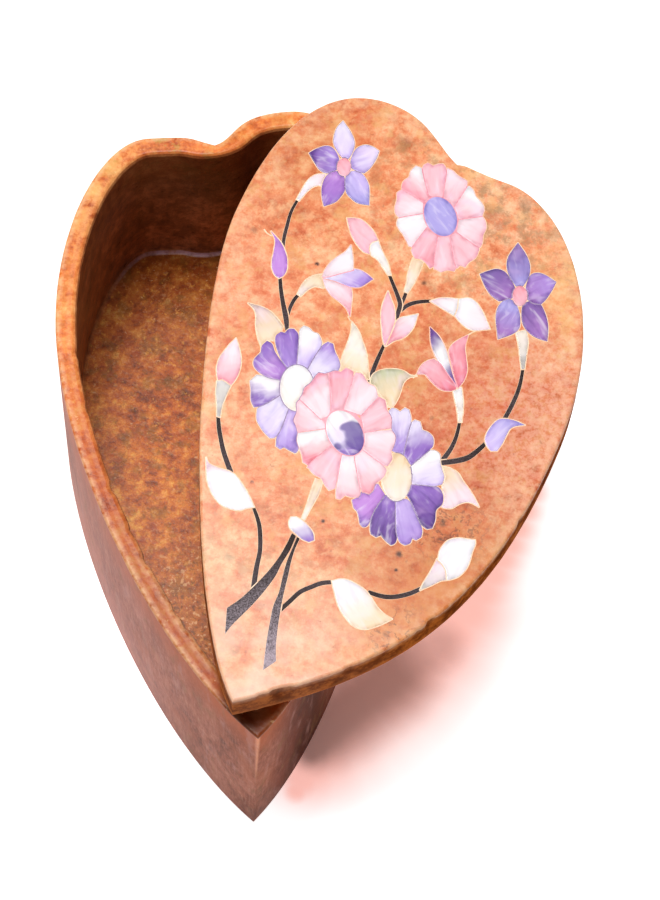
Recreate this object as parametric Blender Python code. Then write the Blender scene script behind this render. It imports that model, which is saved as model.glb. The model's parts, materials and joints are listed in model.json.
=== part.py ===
"""Heart-shaped marble trinket box with a loose lid that lies askew on the rim.

The lid carries a flush flower spray of dyed shell pieces and dark stems.
Sizes are millimetres until the meshes are made, which are in metres, +Z up.
"""
import math

import bmesh
import bpy
import numpy as np
from mathutils import Matrix

MM = 0.001

# Box body
BOX_LENGTH = 105.0
BOX_HEIGHT = 39.8
WALL = 3.2
FLOOR_THICKNESS = 7.5
BASE_INSET = 0.9
BASE_CHAMFER = 0.7
RIM_CHAMFER = 0.35
COVE = 1.2

# Lid slab and the shallow locating lip under it
LID_LENGTH = 105.0
REST_GAP = 0.3
LIP_DEPTH = 1.4
LIP_INSET = 8.5
LID_THICKNESS = 6.0
LID_TOP_CHAMFER = 0.35
LID_LOW_CHAMFER = 0.7
LID_TURN = math.radians(-25.0)
LID_SHIFT = (18.44, -2.07)

# Inlay
INLAY_THICKNESS = 1.0
POCKET_SPARE = 0.3
GLUE_GAP = 0.3
FUSE_GROWTH = 0.12
CUT_OVERRUN = 1.0
OUTLINE_TOLERANCE = 0.13
SHARP_SHARE = 0.5
FLAT_ANGLE = math.radians(0.05)

LID_UNDERSIDE = BOX_HEIGHT + REST_GAP + LIP_DEPTH
LID_TOP = LID_UNDERSIDE + LID_THICKNESS

# Half outlines of the two hand-cut hearts as shares of their length, tip at zero and lobes
# up the Y axis: widest point (x, y), lobe top (x, y), tip and cleft directions, and the
# pull of each curve at its ends
BOX_RIGHT = dict(wide=(0.265, 0.658), lobe=(0.119, 1.015), tip_dir=0.85, cleft_dir=0.33,
                 pull=(0.30, 0.25, 0.62, 0.60, 0.75, 0.32))
BOX_LEFT = dict(wide=(0.255, 0.649), lobe=(0.100, 0.980), tip_dir=0.79, cleft_dir=0.33,
                pull=(0.32, 0.29, 0.56, 0.45, 0.75, 0.45))
BOX_CLEFT = 0.963
LID_RIGHT = dict(wide=(0.294, 0.573), lobe=(0.080, 0.925), tip_dir=0.95, cleft_dir=0.30,
                 pull=(0.35, 0.60, 0.56, 0.45, 0.75, 0.25))
LID_LEFT = dict(wide=(0.280, 0.725), lobe=(0.133, 0.989), tip_dir=0.84, cleft_dir=0.43,
                pull=(0.20, 0.25, 0.64, 0.64, 0.53, 0.30))
LID_CLEFT = 0.927
CURVE_STEPS = (14, 8, 8)

# The inlay is drawn on a picture plane and laid on the lid along sight lines. The eye
# is beside, behind and above the lid's middle, as far as when the lid has DRAWN_LENGTH.
DRAWN_LENGTH = 105.0
PICTURE_CENTRE = (330.0, 450.0)
PICTURE_SCALE = 3900.7
SIGHT_EYE = (-3.63, -261.85, 529.91)
SIGHT_RISE = math.radians(64.43)
SIGHT_TURN = math.radians(-16.55)
SIGHT_ROLL = math.radians(-4.54)


def clear_scene():
    for obj in list(bpy.data.objects):
        bpy.data.objects.remove(obj, do_unlink=True)


def bezier(a, b, c, d, steps):
    t = np.linspace(0.0, 1.0, steps + 1)[:, None]
    a, b, c, d = (np.array(p, float) for p in (a, b, c, d))
    return (1 - t) ** 3 * a + 3 * (1 - t) ** 2 * t * b + 3 * (1 - t) * t * t * c + t ** 3 * d


def half_heart(side, cleft):
    """Points from the tip round one lobe to the cleft, on the +X side."""
    (wx, wy), (lx, ly) = side["wide"], side["lobe"]
    p1, p2, p3, p4, p5, p6 = side["pull"]
    tip_way, cleft_way = side["tip_dir"], side["cleft_dir"]
    from_tip = (p1 * wy * math.sin(tip_way), p1 * wy * math.cos(tip_way))
    to_cleft = (p6 * lx * math.cos(cleft_way), cleft + p6 * lx * math.sin(cleft_way))
    low = bezier((0, 0), from_tip, (wx, wy - p2 * wy), (wx, wy), CURVE_STEPS[0])
    mid = bezier((wx, wy), (wx, wy + p3 * (ly - wy)), (lx + p4 * (wx - lx), ly), (lx, ly),
                 CURVE_STEPS[1])
    top = bezier((lx, ly), (lx - p5 * lx, ly), to_cleft, (0, cleft), CURVE_STEPS[2])
    return np.vstack([low[:-1], mid[:-1], top])


def heart(length, right, left, cleft):
    """Closed heart outline, anticlockwise from the tip, centred on half its length."""
    one = half_heart(right, cleft)
    two = half_heart(left, cleft)[::-1] * (-1, 1)
    return length * (np.vstack([one, two[1:-1]]) - (0, 0.5))


def offset(points, distance):
    """Outline moved outward by a distance, or inward if it is negative."""
    p = np.asarray(points, float)
    ahead = np.roll(p, -1, 0) - p
    ahead /= np.linalg.norm(ahead, axis=1)[:, None]
    normal = np.stack([ahead[:, 1], -ahead[:, 0]], 1)
    before = np.roll(normal, 1, 0)
    share = np.maximum(1 + (normal * before).sum(1), SHARP_SHARE)
    return p + distance * (normal + before) / share[:, None]


def grow(points, distance):
    """Outline moved outward, with a square end on each sharp tip so that none comes nearer."""
    p = np.asarray(points, float)
    ahead = np.roll(p, -1, 0) - p
    ahead /= np.linalg.norm(ahead, axis=1)[:, None]
    normal = np.stack([ahead[:, 1], -ahead[:, 0]], 1)
    result = []
    for i in range(len(p)):
        before, after = normal[i - 1], normal[i]
        share = 1 + before @ after
        turns_out = ahead[i - 1] @ after > 0
        if share < SHARP_SHARE and turns_out:
            result.append(p[i] + distance * (before + ahead[i - 1]))
            result.append(p[i] + distance * (after - ahead[i]))
        else:
            result.append(p[i] + distance * (before + after) / max(share, SHARP_SHARE))
    return np.array(result)


def area(points):
    p = np.asarray(points, float)
    q = np.roll(p, -1, 0)
    return 0.5 * float((p[:, 0] * q[:, 1] - q[:, 0] * p[:, 1]).sum())


def anticlockwise(points):
    p = np.asarray(points, float)
    return p if area(p) > 0 else p[::-1]


def thin_chain(p, tolerance):
    """Open chain with the points dropped that lie within the tolerance of a chord."""
    if len(p) < 3:
        return p
    chord = p[-1] - p[0]
    away = p[1:-1] - p[0]
    reach = np.abs(chord[0] * away[:, 1] - chord[1] * away[:, 0]) / max(np.hypot(*chord), 1e-9)
    worst = int(reach.argmax())
    if reach[worst] < tolerance:
        return p[[0, -1]]
    cut = worst + 1
    return np.vstack([thin_chain(p[:cut + 1], tolerance)[:-1], thin_chain(p[cut:], tolerance)])


def thin(points, tolerance):
    p = np.asarray(points, float)
    far = int(np.hypot(*(p - p[0]).T).argmax())
    first = thin_chain(p[:far + 1], tolerance)
    second = thin_chain(np.vstack([p[far:], p[:1]]), tolerance)
    return np.vstack([first[:-1], second[:-1]])


def lid_place(points):
    """Outline in the lid's own directions, turned and moved to where the lid lies."""
    c, s = math.cos(LID_TURN), math.sin(LID_TURN)
    return np.asarray(points) @ np.array([[c, s], [-s, c]]) + LID_SHIFT


def on_lid(across, down):
    """Where the sight line through a picture point meets the lid's top, as it lies."""
    a = (across - PICTURE_CENTRE[0]) / PICTURE_SCALE
    b = (PICTURE_CENTRE[1] - down) / PICTURE_SCALE
    c, s = math.cos(SIGHT_ROLL), math.sin(SIGHT_ROLL)
    side, up = c * a + s * b, c * b - s * a
    c, s = math.cos(SIGHT_RISE), math.sin(SIGHT_RISE)
    reach = SIGHT_EYE[2] / (s - up * c)
    x, y = SIGHT_EYE[0] + reach * side, SIGHT_EYE[1] + reach * (up * s + c)
    c, s = math.cos(SIGHT_TURN), math.sin(SIGHT_TURN)
    own = np.array([c * x + s * y, c * y - s * x]) * LID_LENGTH / DRAWN_LENGTH
    return lid_place(own)


def drawn(*readings):
    """Outline on the lid from picture points."""
    points = anticlockwise([on_lid(u, v) for u, v in readings])
    return thin(points, OUTLINE_TOLERANCE)


def oval(cu, cv, long_half, short_half, turn_deg=0.0, count=14):
    turn = math.radians(turn_deg)
    points = []
    for i in range(count):
        t = 2 * math.pi * i / count
        x, y = long_half * math.cos(t), short_half * math.sin(t)
        points.append((cu + x * math.cos(turn) - y * math.sin(turn),
                       cv + x * math.sin(turn) + y * math.cos(turn)))
    return drawn(*points)


def strip(*stations):
    """Outline of a stem from stations (across, down, width)."""
    p = np.array([s[:2] for s in stations], float)
    ahead = np.gradient(p, axis=0)
    ahead /= np.linalg.norm(ahead, axis=1)[:, None]
    side = np.stack([-ahead[:, 1], ahead[:, 0]], 1) * np.array([s[2] for s in stations])[:, None] / 2
    return drawn(*np.vstack([p + side, (p - side)[::-1]]))


def rosette(cu, cv, half_width, half_height, bounds_deg, dip=0.90, scallop=0.965):
    """Ring outline of round-ended petals, each between two bounding directions."""
    points = []
    for i, low in enumerate(bounds_deg):
        high = bounds_deg[(i + 1) % len(bounds_deg)]
        high += 360 if high < low else 0
        for share, reach in ((0.0, dip), (0.22, 0.99), (0.5, scallop), (0.78, 0.99)):
            t = math.radians(low + share * (high - low))
            points.append((cu + half_width * reach * math.cos(t),
                           cv - half_height * reach * math.sin(t)))
    return drawn(*points)


def even_bounds(count, first):
    return [first + 360 * i / count for i in range(count)]


def mesh_object(name, bm, material):
    mesh = bpy.data.meshes.new(name)
    bm.to_mesh(mesh)
    bm.free()
    obj = bpy.data.objects.new(name, mesh)
    bpy.context.scene.collection.objects.link(obj)
    if material:
        mesh.materials.append(material)
    return obj


def loft(levels, bm=None):
    """Closed body through outlines of equal count, from (points, height) levels.

    Runs up the outside; a hollow is added by levels that turn back down."""
    bm = bm or bmesh.new()
    rings = [[bm.verts.new((x * MM, y * MM, z * MM)) for x, y in points] for points, z in levels]
    for low, high in zip(rings, rings[1:]):
        count = len(low)
        for i in range(count):
            j = (i + 1) % count
            bm.faces.new((low[i], low[j], high[j], high[i]))
    bm.faces.new(rings[0][::-1])
    bm.faces.new(rings[-1])
    return bm


def prism(points, low, high, bm=None):
    return loft([(points, low), (points, high)], bm)


def cut_or_join(target, other, operation):
    """Boolean the other object with the target and drop the other object."""
    other.hide_render = True
    other.display_type = "WIRE"
    step = target.modifiers.new(operation, "BOOLEAN")
    step.operation = operation
    step.solver = "EXACT"
    step.object = other
    graph = bpy.context.evaluated_depsgraph_get()
    mesh = bpy.data.meshes.new_from_object(target.evaluated_get(graph))
    target.modifiers.clear()
    target.data = mesh
    mesh.name = target.name
    bpy.data.objects.remove(other, do_unlink=True)
    join_flat_faces(mesh)


def join_flat_faces(mesh):
    """Join faces that lie in one plane, so that no seam is left where bodies met."""
    bm = bmesh.new()
    bm.from_mesh(mesh)
    bmesh.ops.dissolve_limit(bm, angle_limit=FLAT_ANGLE, verts=bm.verts[:], edges=bm.edges[:])
    bm.to_mesh(mesh)
    bm.free()


def material(name, colour, roughness, coat=0.0):
    mat = bpy.data.materials.new(name)
    mat.use_nodes = True
    shader = mat.node_tree.nodes["Principled BSDF"]
    shader.inputs["Base Color"].default_value = (*colour, 1.0)
    shader.inputs["Roughness"].default_value = roughness
    shader.inputs["Metallic"].default_value = 0.0
    shader.inputs["Coat Weight"].default_value = coat
    return mat


COLOURS = {
    "stone_body": ((0.42, 0.16, 0.06), 0.42),
    "stone_lid": ((0.72, 0.33, 0.16), 0.35),
    "stem": ((0.055, 0.032, 0.028), 0.4),
    "cream": ((0.82, 0.68, 0.52), 0.3),
    "white": ((0.88, 0.83, 0.80), 0.25),
    "pink": ((0.86, 0.42, 0.43), 0.25),
    "violet": ((0.34, 0.22, 0.52), 0.25),
    "lavender": ((0.56, 0.46, 0.78), 0.25),
}

# Pieces in order of precedence: a later piece is cut back from the earlier ones.
# Each is name, colour, outlines that are joined into one piece, and an inner hole.
STAR_LEFT_EYE = oval(344, 167, 9, 7, 90, 12)
STAR_RIGHT_EYE = oval(520, 296, 10, 7.5, 90, 12)
ROSE_TOP_EYE = oval(440.5, 216.5, 20.5, 15.5, 64)
ROSE_LEFT_EYE = oval(297, 388, 23, 17, 90)
ROSE_MIDDLE_EYE = oval(345, 433, 24.5, 16.5, 58)
ROSE_LOW_EYE = oval(396, 477, 24, 15, 88)

STAR_LEFT_PETALS = [
    drawn((342, 121), (337, 128), (333, 138), (333, 146), (337, 154), (342, 160), (347, 160),
          (352, 154), (354, 146), (354, 140), (350, 131)),
    drawn((351, 161), (354, 151), (359, 147), (366, 145), (373, 147), (378, 151), (376, 158),
          (370, 168), (364, 173), (357, 171), (350, 168)),
    drawn((347, 176), (350, 172), (355, 171), (361, 173), (366, 178), (369, 188), (368, 204),
          (358, 203), (351, 198), (346, 191)),
    drawn((337, 171), (342, 174), (345, 180), (345, 190), (341, 196), (335, 202), (325, 205),
          (323, 197), (322, 187), (325, 178), (329, 173)),
    drawn((310, 153), (316, 149), (325, 146), (332, 147), (336, 152), (340, 160), (338, 168),
          (332, 172), (326, 173), (320, 170), (315, 163)),
]
STAR_RIGHT_PETALS = [
    drawn((518, 244), (512, 251), (508, 258), (507, 266), (510, 276), (517, 287), (523, 286),
          (528, 278), (530, 270), (529, 262), (525, 253)),
    drawn((530, 275), (537, 273), (545, 275), (555, 282), (552, 290), (546, 299), (541, 304),
          (534, 303), (526, 299), (526, 288)),
    drawn((524, 303), (533, 301), (540, 304), (544, 311), (547, 320), (548, 330), (547, 340),
          (540, 339), (532, 335), (525, 328), (522, 321), (521, 310)),
    drawn((502, 302), (512, 299), (517, 303), (520, 308), (520, 318), (519, 328), (512, 334),
          (499, 338), (497, 330), (496, 320), (497, 310)),
    drawn((481, 274), (488, 271), (497, 269), (505, 272), (511, 280), (515, 289), (513, 297),
          (507, 300), (499, 301), (491, 295), (485, 286)),
]
ROSE_LEFT_PETALS = [
    drawn((262, 345), (267, 341), (272, 344), (275, 352), (281, 361), (289, 370), (282, 382),
          (268, 378), (259, 373), (254, 366), (254, 360), (257, 356), (261, 352)),
    drawn((276, 335), (281, 332), (285, 333), (289, 329), (294, 329), (298, 334), (298, 342),
          (297, 355), (296, 369), (286, 371), (280, 358), (276, 345)),
    drawn((300, 330), (304, 326), (309, 328), (313, 332), (318, 334), (321, 340), (321, 346),
          (315, 355), (308, 368), (296, 369), (298, 350), (299, 340)),
    drawn((322, 346), (328, 342), (333, 344), (335, 352), (338, 358), (340, 365), (338, 371),
          (326, 373), (319, 375), (314, 384), (306, 371), (315, 357)),
    drawn((251, 380), (257, 375), (264, 376), (282, 380), (282, 395), (270, 402), (260, 407),
          (254, 407), (251, 400), (251, 390)),
    drawn((259, 407), (270, 401), (282, 394), (290, 408), (284, 421), (280, 431), (275, 437),
          (270, 438), (264, 432), (260, 426), (257, 420), (257, 412)),
    drawn((289, 405), (299, 411), (296, 420), (298, 430), (299, 440), (298, 450), (294, 453),
          (289, 451), (284, 448), (280, 451), (276, 446), (277, 436), (280, 426), (284, 416)),
]
ROSE_LOW_PETALS = [
    drawn((391, 409), (396, 410), (400, 412), (405, 408), (410, 411), (411, 420), (409, 430),
          (406, 441), (403, 456), (397, 454), (392, 450), (396, 442), (396, 433), (392, 424)),
    drawn((410, 425), (415, 421), (420, 423), (423, 430), (430, 434), (433, 441), (431, 450),
          (421, 458), (410, 466), (403, 455), (405, 444), (408, 434)),
    drawn((432, 449), (437, 454), (439, 461), (441, 468), (443, 475), (441, 482), (435, 486),
          (424, 485), (410, 484), (409, 466), (421, 457)),
    drawn((410, 482), (420, 484), (432, 485), (438, 487), (441, 492), (442, 499), (439, 505),
          (434, 509), (433, 516), (434, 522), (431, 528), (427, 529), (422, 526), (418, 517),
          (413, 508), (406, 499), (409, 492)),
    drawn((405, 497), (409, 501), (414, 509), (419, 518), (421, 528), (421, 536), (417, 539),
          (412, 538), (409, 541), (404, 544), (400, 541), (397, 532), (395, 520), (394, 499)),
    drawn((395, 498), (396, 512), (398, 525), (398, 535), (394, 543), (390, 544), (386, 540),
          (382, 536), (376, 535), (372, 531), (370, 527), (373, 519), (378, 508), (386, 495)),
    drawn((386, 494), (378, 507), (372, 516), (368, 524), (364, 527), (359, 524), (358, 517),
          (356, 511), (352, 506), (353, 500), (361, 492), (368, 494), (373, 490), (377, 484)),
]
ROSE_MIDDLE_BOUNDS = [4, 40, 79, 110, 150, 178, 213, 258, 291, 330]
ROSE_TOP_RING = rosette(440.5, 217.5, 45, 54, even_bounds(12, 8), 0.93)
ROSE_MIDDLE_RING = rosette(345.5, 434, 48.5, 65, ROSE_MIDDLE_BOUNDS)

PIECES = [
    ("star_left_eye", "pink", [STAR_LEFT_EYE], None),
    ("star_right_eye", "pink", [STAR_RIGHT_EYE], None),
    ("rose_top_eye", "lavender", [ROSE_TOP_EYE], None),
    ("rose_middle_eye", "white", [ROSE_MIDDLE_EYE], None),
    ("star_left_petals", "violet", STAR_LEFT_PETALS, STAR_LEFT_EYE),
    ("star_right_petals", "violet", STAR_RIGHT_PETALS, STAR_RIGHT_EYE),
    ("rose_top_petals", "pink", [ROSE_TOP_RING], ROSE_TOP_EYE),
    ("rose_middle_petals", "pink", [ROSE_MIDDLE_RING], ROSE_MIDDLE_EYE),
    ("rose_left_eye", "cream", [ROSE_LEFT_EYE], None),
    ("rose_low_eye", "cream", [ROSE_LOW_EYE], None),
    ("rose_left_petals", "violet", ROSE_LEFT_PETALS, ROSE_LEFT_EYE),
    ("rose_low_petals", "violet", ROSE_LOW_PETALS, ROSE_LOW_EYE),
    ("tulip_left_petals", "pink", [
        drawn((350, 246), (345, 252), (337, 257), (330, 263), (325, 270), (322, 277), (328, 279),
              (340, 274), (353, 271), (353, 260), (352, 252)),
        drawn((323, 279), (330, 276), (340, 271), (351, 269), (360, 270), (368, 274), (372, 279),
              (367, 283), (360, 287), (352, 288), (345, 286), (335, 283)),
        drawn((323, 278), (326, 288), (332, 296), (340, 302), (350, 315), (351, 305), (352, 295),
              (352, 286), (343, 284), (333, 280))], None),
    ("tulip_right_petals", "pink", [
        drawn((418, 374), (421, 366), (427, 361), (434, 359), (440, 364), (447, 374), (456, 385),
              (456, 389), (449, 391), (440, 389), (432, 382), (425, 374)),
        drawn((431, 328), (438, 335), (443, 343), (448, 353), (451, 365), (454, 376), (457, 386),
              (449, 378), (441, 367), (434, 355), (431, 343)),
        drawn((467, 336), (460, 339), (453, 344), (448, 351), (450, 362), (453, 375), (456, 388),
              (460, 386), (464, 380), (467, 370), (466, 358), (465, 347))], None),
    ("bud_top", "pink", [drawn((348, 219), (355, 218), (361, 220), (369, 226), (374, 232),
                               (378, 240), (371, 242), (369, 247), (369, 254), (364, 252),
                               (359, 247), (354, 240), (350, 231))], None),
    ("bud_white", "white", [drawn((459, 299), (468, 298), (475, 301), (481, 309), (486, 319),
                                  (489, 328), (482, 330), (472, 330), (463, 325), (456, 317),
                                  (458, 308))], None),
    ("bud_left", "pink", [drawn((235, 339), (230, 344), (225, 350), (220, 357), (217, 366),
                                (217, 374), (218, 380), (223, 379), (230, 384), (235, 380),
                                (239, 372), (241, 362), (240, 352), (237, 343))], None),
    ("bud_low", "white", [drawn((438, 560), (440, 552), (446, 543), (454, 538), (461, 537),
                                (469, 539), (475, 543), (472, 550), (470, 560), (466, 569),
                                (461, 574), (455, 578), (447, 580), (446, 571), (442, 563))],
     None),
    ("leaf_bud_left", "lavender", [drawn((270, 233), (275, 240), (274, 250), (272, 260),
                                         (272, 268), (275, 275), (279, 278), (284, 275),
                                         (287, 268), (287, 258), (284, 250), (279, 241))], None),
    ("leaf_bud_right", "lavender", [drawn((500, 419), (494, 423), (488, 431), (485, 439),
                                          (487, 446), (491, 451), (497, 451), (502, 444),
                                          (506, 436), (510, 429), (516, 426), (523, 425),
                                          (516, 421), (508, 419))], None),
    ("leaf_pink_long", "pink", [drawn((388, 292), (384, 300), (382, 310), (382, 330),
                                      (384, 345), (388, 338), (393, 328), (395, 318),
                                      (394, 307), (391, 299))], None),
    ("leaf_pink_short", "pink", [drawn((417, 315), (408, 316), (400, 318), (395, 323),
                                       (390, 337), (386, 346), (394, 341), (403, 338),
                                       (409, 333), (414, 326))], None),
    ("leaf_beige", "cream", [drawn((250, 304), (260, 306), (270, 311), (277, 318), (283, 326),
                                   (281, 330), (275, 333), (276, 341), (268, 340), (261, 347),
                                   (258, 338), (256, 326), (256, 316), (254, 309))], None),
    ("leaf_cream", "cream", [drawn((353, 323), (358, 330), (362, 340), (366, 352), (368, 366),
                                   (369, 379), (360, 380), (350, 376), (341, 372), (341, 362),
                                   (344, 352), (348, 342), (351, 332))], None),
    ("leaf_middle", "cream", [drawn((371, 384), (373, 376), (379, 371), (386, 369), (396, 369),
                                    (404, 371), (416, 376), (410, 377), (404, 382), (401, 390),
                                    (398, 398), (393, 405), (388, 406), (382, 398), (376, 391))],
     None),
    ("leaf_right", "cream", [drawn((440, 466), (446, 467), (453, 469), (459, 474), (465, 483),
                                   (470, 492), (478, 507), (468, 501), (461, 503), (454, 507),
                                   (446, 508), (440, 506), (443, 498), (441, 484), (443, 475))],
     None),
    ("leaf_left", "white", [drawn((205, 457), (212, 465), (219, 468), (231, 472), (237, 477),
                                  (242, 484), (247, 492), (253, 506), (247, 508), (240, 510),
                                  (232, 509), (222, 505), (215, 498), (210, 489), (207, 478))],
     None),
    ("leaf_low", "white", [drawn((333, 580), (350, 580), (358, 584), (366, 590), (373, 599),
                                 (379, 608), (385, 615), (393, 619), (377, 626), (366, 629),
                                 (358, 628), (350, 623), (345, 615), (340, 605), (336, 594))],
     None),
    ("knot", "lavender", [drawn((289, 522), (291, 517), (296, 517), (303, 521), (309, 527),
                                (313, 533), (313, 540), (309, 541), (302, 539), (295, 533),
                                (290, 527))], None),
    ("calyx_star_left", "white", [strip((325, 180, 13), (313, 182, 11), (305, 189, 6),
                                        (298, 199, 3))], None),
    ("calyx_star_right", "cream", [strip((521, 331, 11), (523, 342, 10), (523, 354, 7),
                                         (523, 368, 3))], None),
    ("calyx_rose_top", "cream", [strip((417, 262, 11), (413, 274, 10), (409, 284, 6),
                                       (406, 291, 3))], None),
    ("calyx_rose_middle", "cream", [strip((318, 482, 7), (314, 494, 8), (309, 507, 5),
                                          (303, 518, 3))], None),
    ("calyx_tulip_left", "cream", [strip((323, 281, 15), (312, 283, 10), (305, 288, 7),
                                         (299, 294, 3))], None),
    ("calyx_tulip_right", "white", [strip((457, 390, 9), (459, 402, 7), (460, 412, 5),
                                          (460, 421, 3))], None),
    ("calyx_bud_top", "white", [drawn((378, 241), (371, 243), (369, 250), (371, 255),
                                      (377, 259), (382, 266), (388, 275), (390, 274),
                                      (388, 264), (384, 255), (380, 246))], None),
    ("calyx_bud_white", "white", [drawn((431, 301), (440, 298), (450, 298), (459, 299),
                                        (457, 308), (455, 315), (448, 312), (441, 307))], None),
    ("calyx_bud_left", "cream", [drawn((218, 381), (223, 379), (230, 385), (228, 391),
                                       (225, 398), (222, 406), (220, 416), (217, 416),
                                       (217, 405), (216, 393))], None),
    ("calyx_bud_low", "pink", [drawn((421, 589), (424, 581), (428, 573), (433, 565),
                                     (437, 560), (442, 563), (446, 571), (447, 579),
                                     (440, 579), (432, 582))], None),
    ("trunk_left", "stem", [drawn((292, 533), (286, 545), (279, 557), (272, 567), (262, 577),
                                  (252, 590), (242, 598), (233, 605), (227, 609), (225, 633),
                                  (231, 625), (240, 613), (252, 602), (261, 592), (267, 584),
                                  (275, 573), (283, 561), (289, 550), (296, 536))], None),
    ("trunk_right", "stem", [drawn((297, 538), (292, 547), (288, 558), (285, 570), (281, 585),
                                   (278, 600), (274, 615), (270, 630), (267, 645), (263, 670),
                                   (276, 660), (277, 645), (279, 615), (284, 592), (290, 565),
                                   (294, 552), (300, 539))], None),
    ("stem_star_left", "stem", [strip((298, 200, 3), (291, 212, 3.5), (287, 226, 4),
                                      (284, 240, 4), (283, 247, 3))], None),
    ("stem_leaf_bud", "stem", [strip((280, 279, 4), (281, 290, 4.5), (283, 304, 5),
                                     (286, 318, 6), (286, 329, 3))], None),
    ("stem_tulip_left", "stem", [strip((299, 294, 3), (294, 300, 3.5), (290, 308, 4),
                                       (287, 317, 3))], None),
    ("stem_bud_top", "stem", [strip((389, 275, 4), (393, 284, 4), (397, 294, 4), (400, 304, 4.5),
                                    (398, 313, 4.5), (396, 320, 3))], None),
    ("stem_rose_top", "stem", [strip((407, 291, 4), (404, 298, 4), (401, 306, 3.5))], None),
    ("stem_bud_white", "stem", [strip((430, 301, 4), (418, 302, 4.5), (408, 305, 4),
                                      (401, 310, 3))], None),
    ("stem_middle", "stem", [strip((384, 346, 4), (379, 356, 4.5), (374, 368, 4.5),
                                   (369, 381, 3))], None),
    ("stem_star_right", "stem", [strip((523, 369, 4), (521, 380, 4.5), (518, 391, 5),
                                       (512, 405, 5), (504, 419, 5))], None),
    ("stem_leaf_right", "stem", [strip((486, 443, 5), (476, 452, 5.5), (464, 458, 5.5),
                                       (453, 461, 5), (439, 463, 5))], None),
    ("stem_tulip_right", "stem", [strip((460, 421, 4), (457, 433, 4.5), (452, 444, 5),
                                        (442, 461, 5))], None),
    ("stem_bud_left", "stem", [strip((218, 416, 4), (219, 428, 5), (221, 440, 5),
                                     (225, 455, 5.5), (231, 472, 5))], None),
    ("stem_leaf_left", "stem", [strip((254, 507, 3), (258, 520, 4.5), (260, 534, 4.5),
                                      (259, 552, 5), (256, 570, 5), (254, 590, 6))], None),
    ("branch_low", "stem", [strip((281, 609, 6), (289, 603, 6), (299, 595, 6), (309, 588, 6),
                                  (320, 584, 6), (333, 582.5, 5))], None),
    ("stem_bud_low", "stem", [strip((367, 592, 5), (378, 595, 6), (390, 596, 6), (400, 596, 6),
                                    (410, 593, 6), (421, 588, 4))], None),
]


def near(one, two, reach):
    low = np.maximum(one.min(0), two.min(0))
    high = np.minimum(one.max(0), two.max(0))
    return bool((high - low > -reach).all())


def build_body(stone):
    rim = heart(BOX_LENGTH, BOX_RIGHT, BOX_LEFT, BOX_CLEFT)
    base = offset(rim, -BASE_INSET)
    mouth = offset(rim, -WALL)
    mouth[0] = (mouth[1] + mouth[-1]) / 2
    levels = [
        (offset(base, -BASE_CHAMFER), 0.0),
        (base, BASE_CHAMFER),
        (rim, BOX_HEIGHT - RIM_CHAMFER),
        (offset(rim, -RIM_CHAMFER), BOX_HEIGHT),
        (mouth, BOX_HEIGHT),
        (mouth, FLOOR_THICKNESS + COVE),
        (offset(mouth, -COVE), FLOOR_THICKNESS),
    ]
    return mesh_object("box_body", loft(levels), stone)


def build_lid(stone, cutters):
    edge = heart(LID_LENGTH, LID_RIGHT, LID_LEFT, LID_CLEFT)
    lip = lid_place(offset(edge, -LIP_INSET))
    low = lid_place(offset(edge, -LID_LOW_CHAMFER))
    top = lid_place(offset(edge, -LID_TOP_CHAMFER))
    edge = lid_place(edge)
    levels = [
        (lip, LID_UNDERSIDE - LIP_DEPTH),
        (lip, LID_UNDERSIDE),
        (low, LID_UNDERSIDE),
        (edge, LID_UNDERSIDE + LID_LOW_CHAMFER),
        (edge, LID_TOP - LID_TOP_CHAMFER),
        (top, LID_TOP),
    ]
    lid = mesh_object("lid", loft(levels), stone)
    low, high = LID_TOP - INLAY_THICKNESS - POCKET_SPARE, LID_TOP + CUT_OVERRUN
    cut_or_join(lid, joined_prisms(cutters, low, high), "DIFFERENCE")
    return lid


def joined_prisms(outlines, low, high, name="joined", mat=None):
    joined = mesh_object(name, prism(outlines[0], low, high), mat)
    for points in outlines[1:]:
        cut_or_join(joined, mesh_object("more", prism(points, low, high), None), "UNION")
    return joined


def build_piece(name, mat, outlines, hole, earlier):
    low, high = LID_TOP - INLAY_THICKNESS, LID_TOP
    if len(outlines) > 1:
        outlines = [grow(points, FUSE_GROWTH) for points in outlines]
    piece = joined_prisms(outlines, low, high, name, mat)
    extent = np.vstack(outlines)
    blocked = [points for points in earlier
               if points is not hole and near(extent, points, GLUE_GAP)]
    if hole is not None:
        blocked.append(hole)
    if blocked:
        cutters = [grow(points, GLUE_GAP) for points in blocked]
        low, high = low - CUT_OVERRUN, high + CUT_OVERRUN
        cut_or_join(piece, joined_prisms(cutters, low, high), "DIFFERENCE")
    return outlines


def stand_on_origin():
    """Move all pieces together, so that the middle of their underside is the origin."""
    meshes = [obj.data for obj in bpy.data.objects]
    spots = np.array([vert.co[:] for mesh in meshes for vert in mesh.vertices])
    low, high = spots.min(0), spots.max(0)
    move = Matrix.Translation((-(low[0] + high[0]) / 2, -(low[1] + high[1]) / 2, -low[2]))
    for mesh in meshes:
        mesh.transform(move)


def main():
    clear_scene()
    mats = {name: material(name, *look) for name, look in COLOURS.items()}
    build_body(mats["stone_body"])
    earlier = []
    for name, colour, outlines, hole in PIECES:
        earlier += build_piece(name, mats[colour], outlines, hole, earlier)
    build_lid(mats["stone_lid"], [grow(points, GLUE_GAP) for points in earlier])
    stand_on_origin()


main()
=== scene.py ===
"""Looks of the heart-shaped marble trinket box: stone, shell inlay, stage, light and camera."""

from functools import reduce
import json
import math

import bmesh
import bpy
import numpy as np
from mathutils import Matrix, Vector
from mathutils.geometry import delaunay_2d_cdt


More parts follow.
